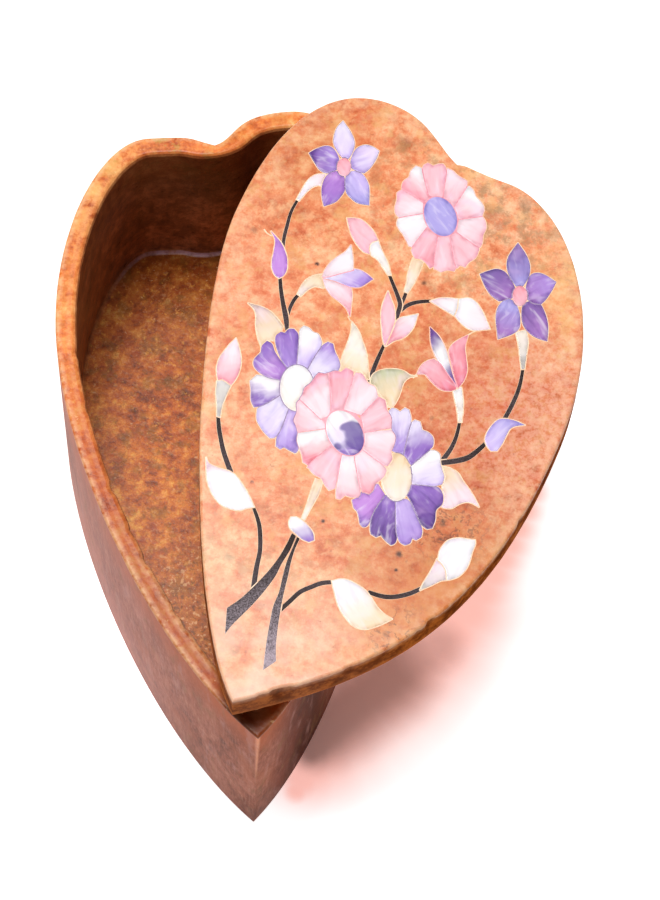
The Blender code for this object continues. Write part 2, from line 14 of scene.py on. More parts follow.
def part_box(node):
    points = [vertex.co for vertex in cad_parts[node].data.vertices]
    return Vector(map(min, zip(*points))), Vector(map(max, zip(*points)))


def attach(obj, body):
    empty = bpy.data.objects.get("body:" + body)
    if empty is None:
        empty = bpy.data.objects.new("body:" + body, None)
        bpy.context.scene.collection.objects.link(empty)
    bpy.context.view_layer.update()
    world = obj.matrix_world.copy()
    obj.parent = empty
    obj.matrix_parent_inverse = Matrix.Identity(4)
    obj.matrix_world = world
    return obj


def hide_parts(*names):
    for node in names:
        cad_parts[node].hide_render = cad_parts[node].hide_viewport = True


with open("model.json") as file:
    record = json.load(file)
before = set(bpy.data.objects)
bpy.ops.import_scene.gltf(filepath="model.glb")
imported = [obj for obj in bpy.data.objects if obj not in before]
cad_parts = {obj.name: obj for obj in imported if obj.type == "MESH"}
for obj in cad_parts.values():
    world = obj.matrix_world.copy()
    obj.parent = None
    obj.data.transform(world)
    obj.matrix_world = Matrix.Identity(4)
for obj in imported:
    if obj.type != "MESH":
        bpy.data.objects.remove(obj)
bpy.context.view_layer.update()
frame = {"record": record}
MM = 0.001

# Box and lid, in millimetres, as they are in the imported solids
BOX_LENGTH = 105.0
WALL = 3.2
FLOOR_THICKNESS = 7.5
BASE_INSET = 0.9
LID_LENGTH = 105.0
LIP_INSET = 8.5
LIP_DEPTH = 1.4
LID_TURN = math.radians(-25.0)
LID_SHIFT = (18.44, -2.07)
INLAY_THICKNESS = 1.0
POCKET_SPARE = 0.3
BOX_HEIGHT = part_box("box_body")[1].z / MM
LID_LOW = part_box("lid")[0].z / MM
LID_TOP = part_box("lid")[1].z / MM

# Half outlines of the two hand-cut hearts as shares of their length
BOX_RIGHT = dict(wide=(0.265, 0.658), lobe=(0.119, 1.015), tip_dir=0.85, cleft_dir=0.33,
                 pull=(0.30, 0.25, 0.62, 0.60, 0.75, 0.32))
BOX_LEFT = dict(wide=(0.255, 0.649), lobe=(0.100, 0.980), tip_dir=0.79, cleft_dir=0.33,
                pull=(0.32, 0.29, 0.56, 0.45, 0.75, 0.45))
BOX_CLEFT = 0.963
LID_RIGHT = dict(wide=(0.294, 0.573), lobe=(0.080, 0.925), tip_dir=0.95, cleft_dir=0.30,
                 pull=(0.35, 0.60, 0.56, 0.45, 0.75, 0.25))
LID_LEFT = dict(wide=(0.280, 0.725), lobe=(0.133, 0.989), tip_dir=0.84, cleft_dir=0.43,
                pull=(0.20, 0.25, 0.64, 0.64, 0.53, 0.30))
LID_CLEFT = 0.927
CURVE_STEPS = (90, 50, 50)

# The picture plane that the inlay is drawn on, and the eye over the lid's middle
PICTURE_CENTRE = (330.0, 450.0)
PICTURE_SCALE = 3900.7
PICTURE_LONG_SIDE = 900
SENSOR = 36.0
SIGHT_EYE = (-3.63, -261.85, 529.91)
SIGHT_RISE = math.radians(64.43)
SIGHT_TURN = math.radians(-16.55)
SIGHT_ROLL = math.radians(-4.54)

# Fine sizes of the finish, in millimetres
CURVE_STEP = 0.3
CORNER_TURN = math.radians(48)
GLUE_LINE = 0.17
STEM_LINE = 0.05
STEM_SHARE = 0.88
DARK_LINE = 0.06
EYE_LINE = 0.6
LINE_DEPTH = 0.3
PETAL_GAP = 0.17
GLUE_SUNK = 0.04
STONE_SUNK = 0.015
POCKET_LOW = LID_TOP - INLAY_THICKNESS - POCKET_SPARE
CHAMFER_WIDE = 0.12
CHAMFER_DEEP = 0.012
CHAMFER_REACH = 0.8 * CHAMFER_WIDE
FIELD_STEP = 0.55
SEED_STEP = 7.3
OVAL_POINTS = 40
STRIP_STEP = 3.0
EDGE_STEPS = 4
WAVES = (2, 3, 5, 9, 14, 23, 37, 61, 97)
WAVE_FALL = 0.4
CHIP_BODY = 1.3

# Shares of a distance within which a moved point counts as clear of an edge
SHRINK_SLACK = 0.97
GROW_SLACK = 0.9
RING_CLEAR = 0.9
FIELD_CLEAR = 2.2

# Levels of the box in millimetres, from the foot over the rim to the floor of the hollow
FOOT = ((1.0, 0.0), (0.45, 0.22), (0.0, 0.75))
FOOT_WEAR_AND_HIGHLIGHT = 0.4
WALL_SHARES = (0.1, 0.3, 0.5, 0.7, 0.86, 0.96)
WALL_TOP_GAP = 0.6
WALL_WEAR_AND_HIGHLIGHT = 0.35
RIM_RADIUS = 0.42
RIM_WAVER = 0.12
RIM_FLAT = ((1.1, 0.0), (1.6, 0.02))
MOUTH_WEAR_AND_HIGHLIGHT = 0.8
MOUTH = ((0.75, 0.03, 0.1), (0.5, 0.08, 0.25), (0.2, 0.25, 0.45), (0.0, 0.7, 0.7))
HOLLOW_WAVER = 0.16
HOLLOW_SHARES = (0.06, 0.15, 0.3, 0.5, 0.7, 0.85)
HOLLOW_BELLY = 0.2
HOLLOW_CHIPS = 0.6
HOLLOW_PASSES = 90
PASS_SHARE = 0.9
CLEFT_REACH = 5.0
CLEFT_SOFT = 1.4
SIDE_SOFT = 0.12
DARK_FROM = 0.75
COVE_SHARES = (0.0, 0.35, 0.7, 1.0)
COVE_RADIUS = 0.7
COVE_WEAR_AND_HIGHLIGHT = 0.5
DISH_INSET = 2.2
DISH_DEPTH = 0.03

# Levels of the lid in millimetres, from its lip up its side
LIP_SIDE = ((0.3, 0.0), (0.0, 0.25), (0.0, LIP_DEPTH))
SLAB_FOOT = ((0.9, 0.0), (0.45, 0.15), (0.12, 0.45), (0.0, 0.9))
CHIP_TOP = 1.6
LID_RADIUS = 0.45
LID_INSET = 0.08
LID_WAVER = 0.12
CHIPS_DOWN = ((0.3, CHIP_TOP), (1.0, LID_RADIUS))
CHIPS_ABOVE = 0.7
TIP_WEAR_AND_HIGHLIGHT = 0.9

# Reach of the lid's pale edges, partly wear and partly painted highlight, and of its sawn side, darker
# partly by painted shade, in millimetres
WEAR_AND_HIGHLIGHT_REACH = 0.75
WEAR_AND_HIGHLIGHT_SPREAD = 1.2
UPPER_WEAR_AND_HIGHLIGHT = (1.0, 0.6)
LOWER_WEAR_AND_HIGHLIGHT = (0.7, 0.5)
LOWER_SHARE = 0.6
SIDE_FADE = (0.25, 0.3)


def bezier(a, b, c, d, steps):
    t = np.linspace(0.0, 1.0, steps + 1)[:, None]
    a, b, c, d = (np.array(p, float) for p in (a, b, c, d))
    return (1 - t) ** 3 * a + 3 * (1 - t) ** 2 * t * b + 3 * (1 - t) * t * t * c + t ** 3 * d


def half_heart(side, cleft):
    """One half of a heart of length 1, from its tip at zero up to its cleft."""
    (wx, wy), (lx, ly) = side["wide"], side["lobe"]
    p1, p2, p3, p4, p5, p6 = side["pull"]
    tip_way, cleft_way = side["tip_dir"], side["cleft_dir"]
    from_tip = (p1 * wy * math.sin(tip_way), p1 * wy * math.cos(tip_way))
    to_cleft = (p6 * lx * math.cos(cleft_way), cleft + p6 * lx * math.sin(cleft_way))
    low = bezier((0, 0), from_tip, (wx, wy - p2 * wy), (wx, wy), CURVE_STEPS[0])
    mid = bezier((wx, wy), (wx, wy + p3 * (ly - wy)), (lx + p4 * (wx - lx), ly), (lx, ly),
                 CURVE_STEPS[1])
    top = bezier((lx, ly), (lx - p5 * lx, ly), to_cleft, (0, cleft), CURVE_STEPS[2])
    return np.vstack([low[:-1], mid[:-1], top])


def heart(length, right, left, cleft):
    one = half_heart(right, cleft)
    two = half_heart(left, cleft)[::-1] * (-1, 1)
    return length * (np.vstack([one, two[1:-1]]) - (0, 0.5))


BOX_OUTLINE = heart(BOX_LENGTH, BOX_RIGHT, BOX_LEFT, BOX_CLEFT)
LID_OUTLINE = heart(LID_LENGTH, LID_RIGHT, LID_LEFT, LID_CLEFT)
ORIGIN = np.array(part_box("box_body")[0][:2]) / MM - BOX_OUTLINE.min(0)


def lid_place(points):
    """Points of the straight lid where it lies askew on the box."""
    c, s = math.cos(LID_TURN), math.sin(LID_TURN)
    return np.asarray(points) @ np.array([[c, s], [-s, c]]) + LID_SHIFT + ORIGIN


def turned_back(x, y):
    """A direction of the sight line on the straight lid."""
    c, s = math.cos(SIGHT_TURN), math.sin(SIGHT_TURN)
    return np.array([c * x + s * y, c * y - s * x])


def on_level(across, down, level):
    """Where the sight line through a picture point meets a height."""
    a = (across - PICTURE_CENTRE[0]) / PICTURE_SCALE
    b = (PICTURE_CENTRE[1] - down) / PICTURE_SCALE
    c, s = math.cos(SIGHT_ROLL), math.sin(SIGHT_ROLL)
    side, up = c * a + s * b, c * b - s * a
    c, s = math.cos(SIGHT_RISE), math.sin(SIGHT_RISE)
    reach = (SIGHT_EYE[2] + LID_TOP - level) / (s - up * c)
    return lid_place(turned_back(SIGHT_EYE[0] + reach * side, SIGHT_EYE[1] + reach * (up * s + c)))


def on_lid(across, down):
    return on_level(across, down, LID_TOP)


def edge_ways(points):
    """Unit direction of each edge of an outline, and its outward normal."""
    ahead = np.roll(points, -1, 0) - points
    ahead /= np.linalg.norm(ahead, axis=1)[:, None]
    return ahead, np.stack([ahead[:, 1], -ahead[:, 0]], 1)


def offset(points, distance):
    """Outline moved outward by one distance or by one for each point."""
    p = np.asarray(points, float)
    normal = edge_ways(p)[1]
    before = np.roll(normal, 1, 0)
    share = np.maximum(1 + (normal * before).sum(1), 0.5)
    return p + np.reshape(distance, (-1, 1)) * (normal + before) / share[:, None]


def gap_to(points, a, b=None):
    """Distance of each point to a closed outline, or to edges from a to b."""
    b = np.roll(a, -1, 0) if b is None else b
    along = b - a
    away = points[:, None] - a[None]
    t = np.clip((away * along).sum(2) / np.maximum((along ** 2).sum(1), 1e-12), 0, 1)
    return np.linalg.norm(away - t[..., None] * along, axis=2).min(1)


def shrink(points, distance):
    """Outline moved inward with as many points, its crossed corners drawn together."""
    depth = np.broadcast_to(distance, len(points))
    p = offset(points, -depth)
    lost = gap_to(p, points) < SHRINK_SLACK * depth
    if lost.any():
        at = np.arange(len(p))
        for column in range(2):
            p[lost, column] = np.interp(at[lost], at[~lost], p[~lost, column], period=len(p))
    return p


def grow(points, distance):
    """Outline moved outward, blunt at sharp tips and with no loops in its notches."""
    p = np.asarray(points, float)
    ahead, normal = edge_ways(p)
    result = []
    for i in range(len(p)):
        before, after = normal[i - 1], normal[i]
        share = 1 + before @ after
        if share < 1.0 and ahead[i - 1] @ after > 0:
            result.append(p[i] + distance * (before + 0.5 * ahead[i - 1]))
            result.append(p[i] + distance * (after - 0.5 * ahead[i]))
        else:
            result.append(p[i] + distance * (before + after) / max(share, 0.5))
    result = np.array(result)
    return result[gap_to(result, p) > GROW_SLACK * distance]


def area(points):
    q = np.roll(points, -1, 0)
    return 0.5 * float((points[:, 0] * q[:, 1] - q[:, 0] * points[:, 1]).sum())


def spline(a, b, c, d, step):
    """Smooth curve from b up to c that leaves and arrives along its neighbours."""
    count = max(1, int(round(np.linalg.norm(c - b) / step)))
    t = (np.arange(count) / count)[:, None]
    bend = (2 * a - 5 * b + 4 * c - d) * t ** 2 + (3 * b - a - 3 * c + d) * t ** 3
    return 0.5 * (2 * b + (c - a) * t + bend)


def chain(p, step):
    """Smooth curve through a chain of points, without its last point."""
    if len(p) == 2:
        return p[:1]
    full = np.vstack([2 * p[0] - p[1], p, 2 * p[-1] - p[-2]])
    return np.vstack([spline(*full[i:i + 4], step) for i in range(len(p) - 1)])


def smooth(points, step=CURVE_STEP):
    """Closed smooth curve through points that keeps their sharp corners."""
    p = np.asarray(points, float)
    p = p if area(p) > 0 else p[::-1]
    ahead = np.roll(p, -1, 0) - p
    way = np.arctan2(ahead[:, 1], ahead[:, 0])
    turn = np.abs((way - np.roll(way, 1) + math.pi) % (2 * math.pi) - math.pi)
    corners = [i for i in range(len(p)) if turn[i] > CORNER_TURN]
    if not corners:
        full = np.vstack([p[-1:], p, p[:2]])
        return np.vstack([spline(*full[i:i + 4], step) for i in range(len(p))])
    p = np.roll(p, -corners[0], 0)
    ends = [i - corners[0] for i in corners] + [len(p)]
    p = np.vstack([p, p[:1]])
    return np.vstack([chain(p[a:b + 1], step) for a, b in zip(ends, ends[1:])])


def drawn(readings):
    """Smooth outline on the lid from its corners in the picture."""
    return smooth([on_lid(u, v) for u, v in readings])


def oval(across, down, long_half, short_half, degrees):
    """Picture outline of a flower's eye from its middle, its half sizes and its turn."""
    turn = math.radians(degrees)
    points = []
    for i in range(OVAL_POINTS):
        t = 2 * math.pi * i / OVAL_POINTS
        x, y = long_half * math.cos(t), short_half * math.sin(t)
        points.append((across + x * math.cos(turn) - y * math.sin(turn),
                       down + x * math.sin(turn) + y * math.cos(turn)))
    return points


def strip(*stations):
    """Picture outline of a stem from stations (across, down, width)."""
    full = np.array(stations, float)
    p = np.vstack([chain(full, STRIP_STEP), full[-1:]])
    ahead = np.gradient(p[:, :2], axis=0)
    ahead /= np.linalg.norm(ahead, axis=1)[:, None]
    side = np.stack([-ahead[:, 1], ahead[:, 0]], 1) * p[:, 2:] / 2
    return [tuple(q) for q in np.vstack([p[:, :2] + side, (p[:, :2] - side)[::-1]])]


class Slip:
    """One cut slip of shell or stone: its outline, its run and two or three tones along it."""

    count = 0

    def __init__(self, tones, readings, start, end, centre, streak, shade):
        Slip.count += 1
        self.seed = SEED_STEP * Slip.count
        self.outline = drawn(readings)
        self.cutter = grow(self.outline, PETAL_GAP)
        names = tones.split()
        near, far = TONES[names[0]], TONES[names[-1]]
        between = tuple((a + b) / 2 for a, b in zip(near, far))
        self.tones = (near, TONES[names[1]] if len(names) == 3 else between, far)
        self.streak = streak
        self.shade = shade
        self.start = on_lid(*start)
        reach = np.linalg.norm(self.outline - self.start, axis=1)
        self.end = on_lid(*end) if end else self.outline[reach.argmax()]
        self.axis = self.outline.mean(0) - on_lid(*(centre or start))
        self.axis /= np.linalg.norm(self.axis)


def slips(*specs, centre=None, streak=0.5, shade=0.0):
    """Slips of one piece of inlay, each from its tones, its outline and the ends of its run.

    A petal without a run of its own runs from the flower's centre to its far end.
    """
    made = []
    for tones, readings, *run in specs:
        start, end = (*(run or [centre]), None)[:2]
        made.append(Slip(tones, readings, start, end, centre, streak, shade))
    return made


STAGE_LIGHT = (1.60, 1.52, 1.50)


def lin(r, g, b, light=1.0):
    """Linear colour of a surface that shows as this display colour under the stage light."""
    return tuple((c / 255 / 12.92 if c < 10.3 else ((c / 255 + 0.055) / 1.055) ** 2.4) / full / light
                 for c, full in zip((r, g, b), STAGE_LIGHT))


TONES = {
    "pearl": lin(252, 246, 247),
    "mist": lin(236, 224, 248),
    "lilac": lin(218, 196, 246),
    "periwinkle": lin(180, 168, 230),
    "lavender": lin(180, 146, 222),
    "violet": lin(150, 108, 196),
    "plum": lin(108, 66, 152),
    "dusk": lin(128, 98, 168),
    "mauve": lin(170, 122, 194),
    "orchid": lin(200, 140, 222),
    "blush": lin(254, 228, 234),
    "rose": lin(255, 196, 206),
    "pink": lin(252, 172, 184),
    "coral": lin(242, 132, 148),
    "cream": lin(254, 240, 226),
    "peach": lin(252, 222, 186),
    "sage": lin(206, 204, 170),
    "silver": lin(222, 214, 208),
    "fawn": lin(222, 196, 180),
    "bark": lin(46, 32, 30),
    "slate": lin(62, 48, 50),
    "ash": lin(172, 152, 162),
}


def star_left():
    return slips(
        ("lilac mist", [
            (343, 158), (338, 152), (334, 144), (334, 137), (337, 128), (343, 121), (350, 131),
            (354, 140), (354, 147), (351, 155), (347, 160)]),
        ("lavender mist", [
            (350, 167), (351, 160), (354, 152), (359, 147), (366, 145), (373, 147), (379, 151),
            (376, 159), (370, 168), (364, 173), (357, 171)]),
        ("lilac periwinkle", [
            (346, 176), (350, 172), (355, 171), (361, 173), (366, 179), (369, 188), (369, 205),
            (358, 203), (351, 198), (346, 191)]),
        ("orchid violet", [
            (337, 171), (342, 174), (345, 180), (345, 189), (341, 196), (335, 202), (324, 206),
            (322, 197), (322, 187), (325, 178), (330, 173)]),
        ("lavender plum", [
            (339, 160), (338, 168), (332, 172), (326, 173), (320, 170), (315, 163), (309, 153),
            (316, 149), (325, 146), (331, 147), (336, 152)], (336, 158), (312, 162)),
        centre=(344, 167), streak=0.65)


def star_right():
    return slips(
        ("periwinkle dusk", [
            (516, 286), (510, 277), (507, 267), (508, 258), (512, 251), (518, 243), (525, 253),
            (529, 262), (530, 270), (528, 278), (523, 286)]),
        ("mauve lavender", [
            (527, 299), (526, 288), (530, 276), (537, 273), (545, 275), (556, 282), (552, 290),
            (546, 299), (541, 304), (533, 303)]),
        ("dusk mauve", [
            (522, 309), (524, 303), (532, 301), (540, 304), (544, 311), (547, 320), (548, 330),
            (547, 341), (540, 339), (532, 335), (525, 328), (522, 320)]),
        ("periwinkle mauve", [
            (519, 312), (520, 318), (519, 328), (512, 334), (498, 339), (497, 330), (496, 320),
            (497, 310), (502, 302), (509, 299), (515, 302)], (515, 302), (500, 335)),
        ("mauve dusk", [
            (515, 289), (514, 297), (507, 300), (499, 301), (491, 295), (485, 286), (480, 274),
            (488, 271), (497, 269), (505, 272), (511, 280)], (512, 296), (486, 272)),
        centre=(520, 296), streak=0.65)


def rose_top():
    return slips(
        ("rose", [
            (442, 200), (429, 195), (423, 171), (424, 165), (428, 163), (433, 166), (439, 164),
            (443, 164), (446, 171)]),
        ("rose blush", [
            (454, 206), (442, 200), (446, 171), (449, 169), (453, 171), (457, 175), (462, 178),
            (467, 181), (467, 185), (465, 189)], (455, 200), (457, 174)),
        ("rose pearl", [
            (459, 219), (454, 206), (465, 189), (469, 186), (473, 190), (476, 197), (481, 202),
            (484, 208), (483, 213), (482, 216)], (462, 212), (474, 196)),
        ("blush rose", [
            (457, 232), (459, 219), (482, 216), (485, 221), (486, 228), (483, 235), (482, 243),
            (480, 247), (477, 246)], (464, 224), (484, 238)),
        ("rose", [
            (450, 236), (457, 232), (477, 246), (478, 252), (475, 258), (469, 262), (465, 267),
            (460, 265), (457, 268), (455, 262)]),
        ("rose", [
            (438, 237), (450, 236), (455, 262), (457, 266), (454, 271), (447, 270), (441, 272),
            (436, 269), (434, 266)]),
        ("rose pink", [
            (427, 228), (438, 237), (434, 266), (430, 268), (426, 263), (421, 259), (415, 258),
            (412, 252), (413, 247)], (421, 240), (430, 264)),
        ("pearl blush", [
            (423, 214), (427, 228), (413, 247), (409, 246), (406, 240), (403, 234), (399, 229),
            (397, 224), (398, 219), (400, 218)], (404, 220), (414, 243)),
        ("blush rose", [
            (423, 203), (423, 214), (400, 218), (396, 214), (395, 208), (397, 200), (397, 193),
            (401, 190), (404, 191)], (415, 208), (398, 194)),
        ("pearl pink", [
            (429, 195), (423, 203), (404, 191), (402, 186), (404, 181), (409, 177), (411, 171),
            (416, 166), (421, 168), (423, 171)], (420, 172), (410, 190)),
        centre=(440, 217))


def rose_middle():
    return slips(
        ("pink blush", [
            (330, 411), (321, 419), (300, 399), (303, 394), (305, 388), (311, 383), (316, 376),
            (319, 373), (325, 374), (328, 373)], (304, 388), (316, 400)),
        ("rose pink", [
            (343, 409), (330, 411), (329, 373), (335, 371), (341, 372), (346, 368), (351, 370),
            (353, 376)], (346, 400), (337, 374)),
        ("rose blush", [
            (361, 415), (343, 409), (354, 376), (357, 373), (362, 374), (366, 380), (369, 384),
            (375, 387), (378, 397)], (352, 380), (370, 394)),
        ("rose", [
            (364, 432), (361, 415), (379, 397), (385, 400), (387, 410), (391, 418),
            (391, 428)], (380, 424), (372, 402)),
        ("blush rose", [
            (361, 448), (364, 432), (391, 430), (395, 436), (394, 444), (391, 452), (392, 459),
            (388, 465), (384, 465)], (384, 434), (386, 464)),
        ("blush pink", [
            (355, 456), (361, 448), (384, 466), (385, 474), (380, 480), (375, 484), (373, 490),
            (369, 494), (364, 492), (361, 489)], (368, 460), (370, 492)),
        ("pearl rose", [
            (342, 455), (355, 456), (360, 490), (358, 497), (352, 497), (345, 495), (340, 499),
            (336, 494)], (346, 462), (349, 500)),
        ("rose", [
            (331, 446), (342, 455), (335, 488), (329, 490), (325, 485), (321, 478), (314, 474),
            (309, 468), (309, 465)], (336, 452), (322, 480)),
        ("pearl coral", [
            (327, 429), (331, 446), (308, 465), (303, 462), (302, 455), (299, 447), (297, 440),
            (298, 433)], (304, 436), (312, 462)),
        ("blush rose", [
            (321, 419), (327, 428), (298, 432), (296, 425), (294, 420), (297, 412), (297, 403),
            (300, 400)], (318, 418), (296, 426)),
        centre=(345, 433))


def rose_left():
    return slips(
        ("orchid violet", [
            (288, 370), (281, 380), (268, 377), (259, 372), (254, 366), (254, 360), (257, 356),
            (261, 352), (262, 346), (267, 341), (272, 344), (275, 352), (281, 361)]),
        ("lavender violet", [
            (296, 368), (288, 370), (281, 359), (276, 345), (276, 336), (281, 332), (285, 333),
            (289, 329), (294, 329), (298, 334), (298, 342), (297, 355)]),
        ("lilac pearl", [
            (307, 369), (296, 368), (298, 350), (299, 340), (300, 330), (304, 326), (309, 328),
            (313, 332), (318, 334), (321, 340), (321, 346), (315, 355)], (316, 354), (304, 338)),
        ("mist lavender", [
            (314, 383), (307, 369), (315, 356), (322, 346), (328, 342), (333, 344), (335, 352),
            (338, 358), (340, 365), (338, 371), (326, 373), (319, 374)], (316, 366), (330, 344)),
        ("violet pearl", [
            (281, 381), (281, 394), (270, 401), (260, 406), (254, 407), (251, 400), (251, 390),
            (250, 381), (257, 375), (264, 376)], (256, 401), (259, 379)),
        ("mist lilac", [
            (281, 394), (289, 406), (284, 420), (280, 430), (275, 437), (270, 438), (264, 432),
            (260, 426), (257, 420), (257, 412), (259, 407), (270, 401)], (280, 402), (270, 434)),
        ("lilac lavender", [
            (289, 406), (299, 411), (296, 420), (298, 430), (299, 440), (298, 450), (295, 453),
            (289, 450), (284, 447), (280, 449), (276, 446), (277, 436), (280, 428), (284, 416)]),
        centre=(297, 388), streak=0.65)


def rose_low():
    return slips(
        ("lavender mist", [
            (403, 455), (397, 453), (391, 450), (394, 443), (395, 436), (392, 430), (391, 419),
            (389, 411), (392, 408), (396, 409), (400, 412), (405, 408), (409, 410), (411, 420),
            (408, 432), (405, 445)], (398, 448), (400, 414)),
        ("violet mist", [
            (411, 465), (404, 456), (406, 442), (410, 425), (415, 420), (420, 422), (422, 430),
            (429, 433), (433, 438), (433, 445), (429, 450)], (418, 452), (416, 426)),
        ("pearl lilac", [
            (412, 484), (411, 475), (411, 466), (430, 450), (436, 451), (440, 455), (440, 462),
            (442, 470), (444, 477), (442, 484), (434, 486), (425, 485)], (426, 460), (438, 486)),
        ("violet plum", [
            (410, 500), (405, 493), (412, 484), (423, 485), (434, 486), (440, 489), (443, 496),
            (442, 504), (436, 510), (435, 520), (432, 528), (427, 529), (421, 524),
            (416, 513)], (420, 488), (430, 524)),
        ("lilac lavender", [
            (396, 500), (405, 499), (410, 502), (415, 511), (419, 520), (422, 530), (421, 537),
            (416, 540), (412, 538), (410, 543), (405, 545), (400, 542), (397, 534), (396, 520)]),
        ("violet plum", [
            (386, 495), (390, 498), (396, 500), (396, 512), (396, 525), (397, 536), (395, 543),
            (391, 545), (387, 542), (384, 539), (381, 535), (376, 537), (371, 534), (370, 528),
            (371, 520), (375, 511), (380, 503)], (392, 504), (378, 530)),
        ("orchid violet", [
            (378, 484), (385, 495), (380, 503), (375, 511), (371, 519), (367, 526), (363, 527),
            (360, 524), (359, 518), (357, 511), (354, 508), (352, 500), (358, 497), (362, 491),
            (366, 494), (370, 494), (374, 490), (375, 484)], (364, 512), (362, 524)),
        centre=(397, 477), streak=0.65)


def tulip_left():
    return slips(
        ("blush pearl", [
            (322, 277), (325, 270), (330, 263), (337, 257), (345, 252), (351, 245), (352, 252),
            (353, 260), (353, 270), (341, 273), (330, 276)], (324, 276)),
        ("mist lavender", [
            (323, 278), (330, 276), (340, 272), (351, 269), (360, 270), (367, 274), (373, 279),
            (367, 283), (360, 287), (352, 287), (345, 285), (335, 281)], (338, 272), (352, 287)),
        ("blush pink", [
            (323, 279), (335, 282), (343, 285), (351, 288), (352, 295), (351, 305), (350, 316),
            (346, 308), (340, 302), (332, 296), (326, 288)], (326, 282)))


def tulip_right():
    return [
        *slips(("coral rose", [
            (456, 389), (449, 391), (440, 389), (432, 382), (425, 374), (417, 374), (421, 366),
            (427, 361), (434, 359), (440, 364), (447, 374), (455, 385)], (454, 388))),
        *slips(("dusk pearl plum", [
            (457, 387), (449, 377), (441, 366), (435, 355), (431, 343), (430, 327), (438, 335),
            (443, 343), (447, 353), (450, 365), (453, 376)], (454, 380), (431, 334)), streak=1.0),
        *slips(("coral pink", [
            (458, 388), (454, 375), (451, 362), (449, 351), (453, 344), (460, 339), (468, 335),
            (465, 347), (466, 358), (467, 370), (464, 380)], (458, 386)))]


def buds():
    return {
        "bud_top": slips(("rose", [
            (347, 218), (355, 218), (362, 220), (369, 226), (374, 232), (378, 240), (371, 243),
            (369, 249), (370, 254), (364, 252), (359, 247), (354, 240), (350, 231)], (374, 248))),
        "bud_white": slips(("pearl blush", [
            (459, 299), (468, 298), (475, 301), (481, 309), (486, 319), (490, 329), (482, 330),
            (472, 330), (463, 325), (455, 316), (458, 308)], (459, 310))),
        "bud_left": slips(("pink blush", [
            (236, 338), (230, 344), (225, 350), (220, 357), (217, 366), (217, 374), (218, 380),
            (222, 379), (227, 382), (231, 385), (235, 380), (239, 372), (241, 362), (240, 352),
            (238, 344)], (228, 382), (222, 352))),
        "bud_low": slips(("pearl", [
            (438, 560), (440, 550), (446, 542), (452, 539), (460, 538), (467, 539), (475, 540),
            (475, 545), (472, 552), (470, 560), (466, 569), (459, 576), (452, 579), (447, 580),
            (446, 571), (443, 565)], (442, 574))),
        "leaf_bud_left": slips(("orchid", [
            (271, 231), (275, 240), (274, 250), (272, 260), (272, 268), (275, 275), (279, 278),
            (284, 275), (287, 268), (287, 258), (285, 251), (283, 246), (279, 240)], (279, 278))),
        "leaf_bud_right": slips(("lilac periwinkle", [
            (500, 419), (494, 423), (488, 431), (485, 439), (487, 446), (491, 451), (497, 451),
            (502, 444), (506, 436), (510, 429), (516, 426), (525, 425), (516, 421),
            (508, 419)], (488, 446))),
        "knot": slips(("pearl violet", [
            (289, 522), (291, 517), (296, 517), (303, 521), (309, 527), (313, 533), (314, 540),
            (309, 542), (302, 539), (295, 533), (290, 528)], (298, 522), (306, 541))),
    }


def leaves():
    return {
        "leaf_pink_long": slips(("rose", [
            (388, 291), (385, 298), (382, 307), (381, 318), (382, 330), (383, 340), (385, 346),
            (389, 337), (393, 327), (395, 318), (394, 307), (391, 299)], (385, 346))),
        "leaf_pink_short": slips(("pink pearl", [
            (418, 314), (408, 316), (400, 318), (396, 322), (394, 328), (390, 337), (386, 346),
            (394, 341), (403, 338), (409, 333), (414, 326)], (392, 338), (412, 316))),
        "leaf_beige": slips(("fawn peach", [
            (248, 303), (260, 306), (270, 311), (277, 318), (283, 326), (281, 331), (276, 334),
            (276, 341), (268, 340), (262, 348), (258, 338), (256, 326), (256, 316),
            (254, 309)], (254, 308), (272, 338))),
        "leaf_cream": slips(("peach cream", [
            (352, 322), (358, 330), (362, 340), (366, 352), (368, 366), (369, 379), (360, 380),
            (350, 376), (341, 372), (341, 362), (344, 352), (348, 342),
            (351, 332)], (345, 370), (360, 350))),
        "leaf_middle": slips(("sage peach", [
            (371, 385), (372, 376), (378, 371), (386, 369), (396, 369), (404, 371), (410, 375),
            (417, 376), (410, 377), (404, 382), (401, 390), (398, 398), (393, 406), (388, 407),
            (384, 400), (378, 393)], (388, 370), (394, 396))),
        "leaf_right": slips(("peach blush", [
            (440, 466), (446, 467), (452, 469), (458, 473), (463, 481), (469, 489), (474, 497),
            (479, 507), (472, 503), (466, 502), (459, 504), (452, 508), (445, 508), (440, 506),
            (443, 498), (442, 484), (443, 475)], (443, 472), (462, 496))),
        "leaf_left": slips(("pearl blush", [
            (206, 457), (208, 462), (212, 465), (219, 468), (226, 470), (231, 472), (237, 477),
            (242, 484), (247, 492), (251, 500), (254, 507), (247, 508), (240, 510), (232, 509),
            (222, 505), (215, 498), (210, 489), (207, 478)], (232, 484), (206, 462))),
        "leaf_low": slips(("pearl peach", [
            (332, 581), (340, 579), (348, 580), (356, 584), (365, 590), (372, 599), (377, 607),
            (384, 614), (392, 619), (382, 624), (374, 627), (366, 629), (358, 628), (351, 624),
            (346, 618), (340, 609), (336, 598)], (350, 590), (384, 622))),
    }


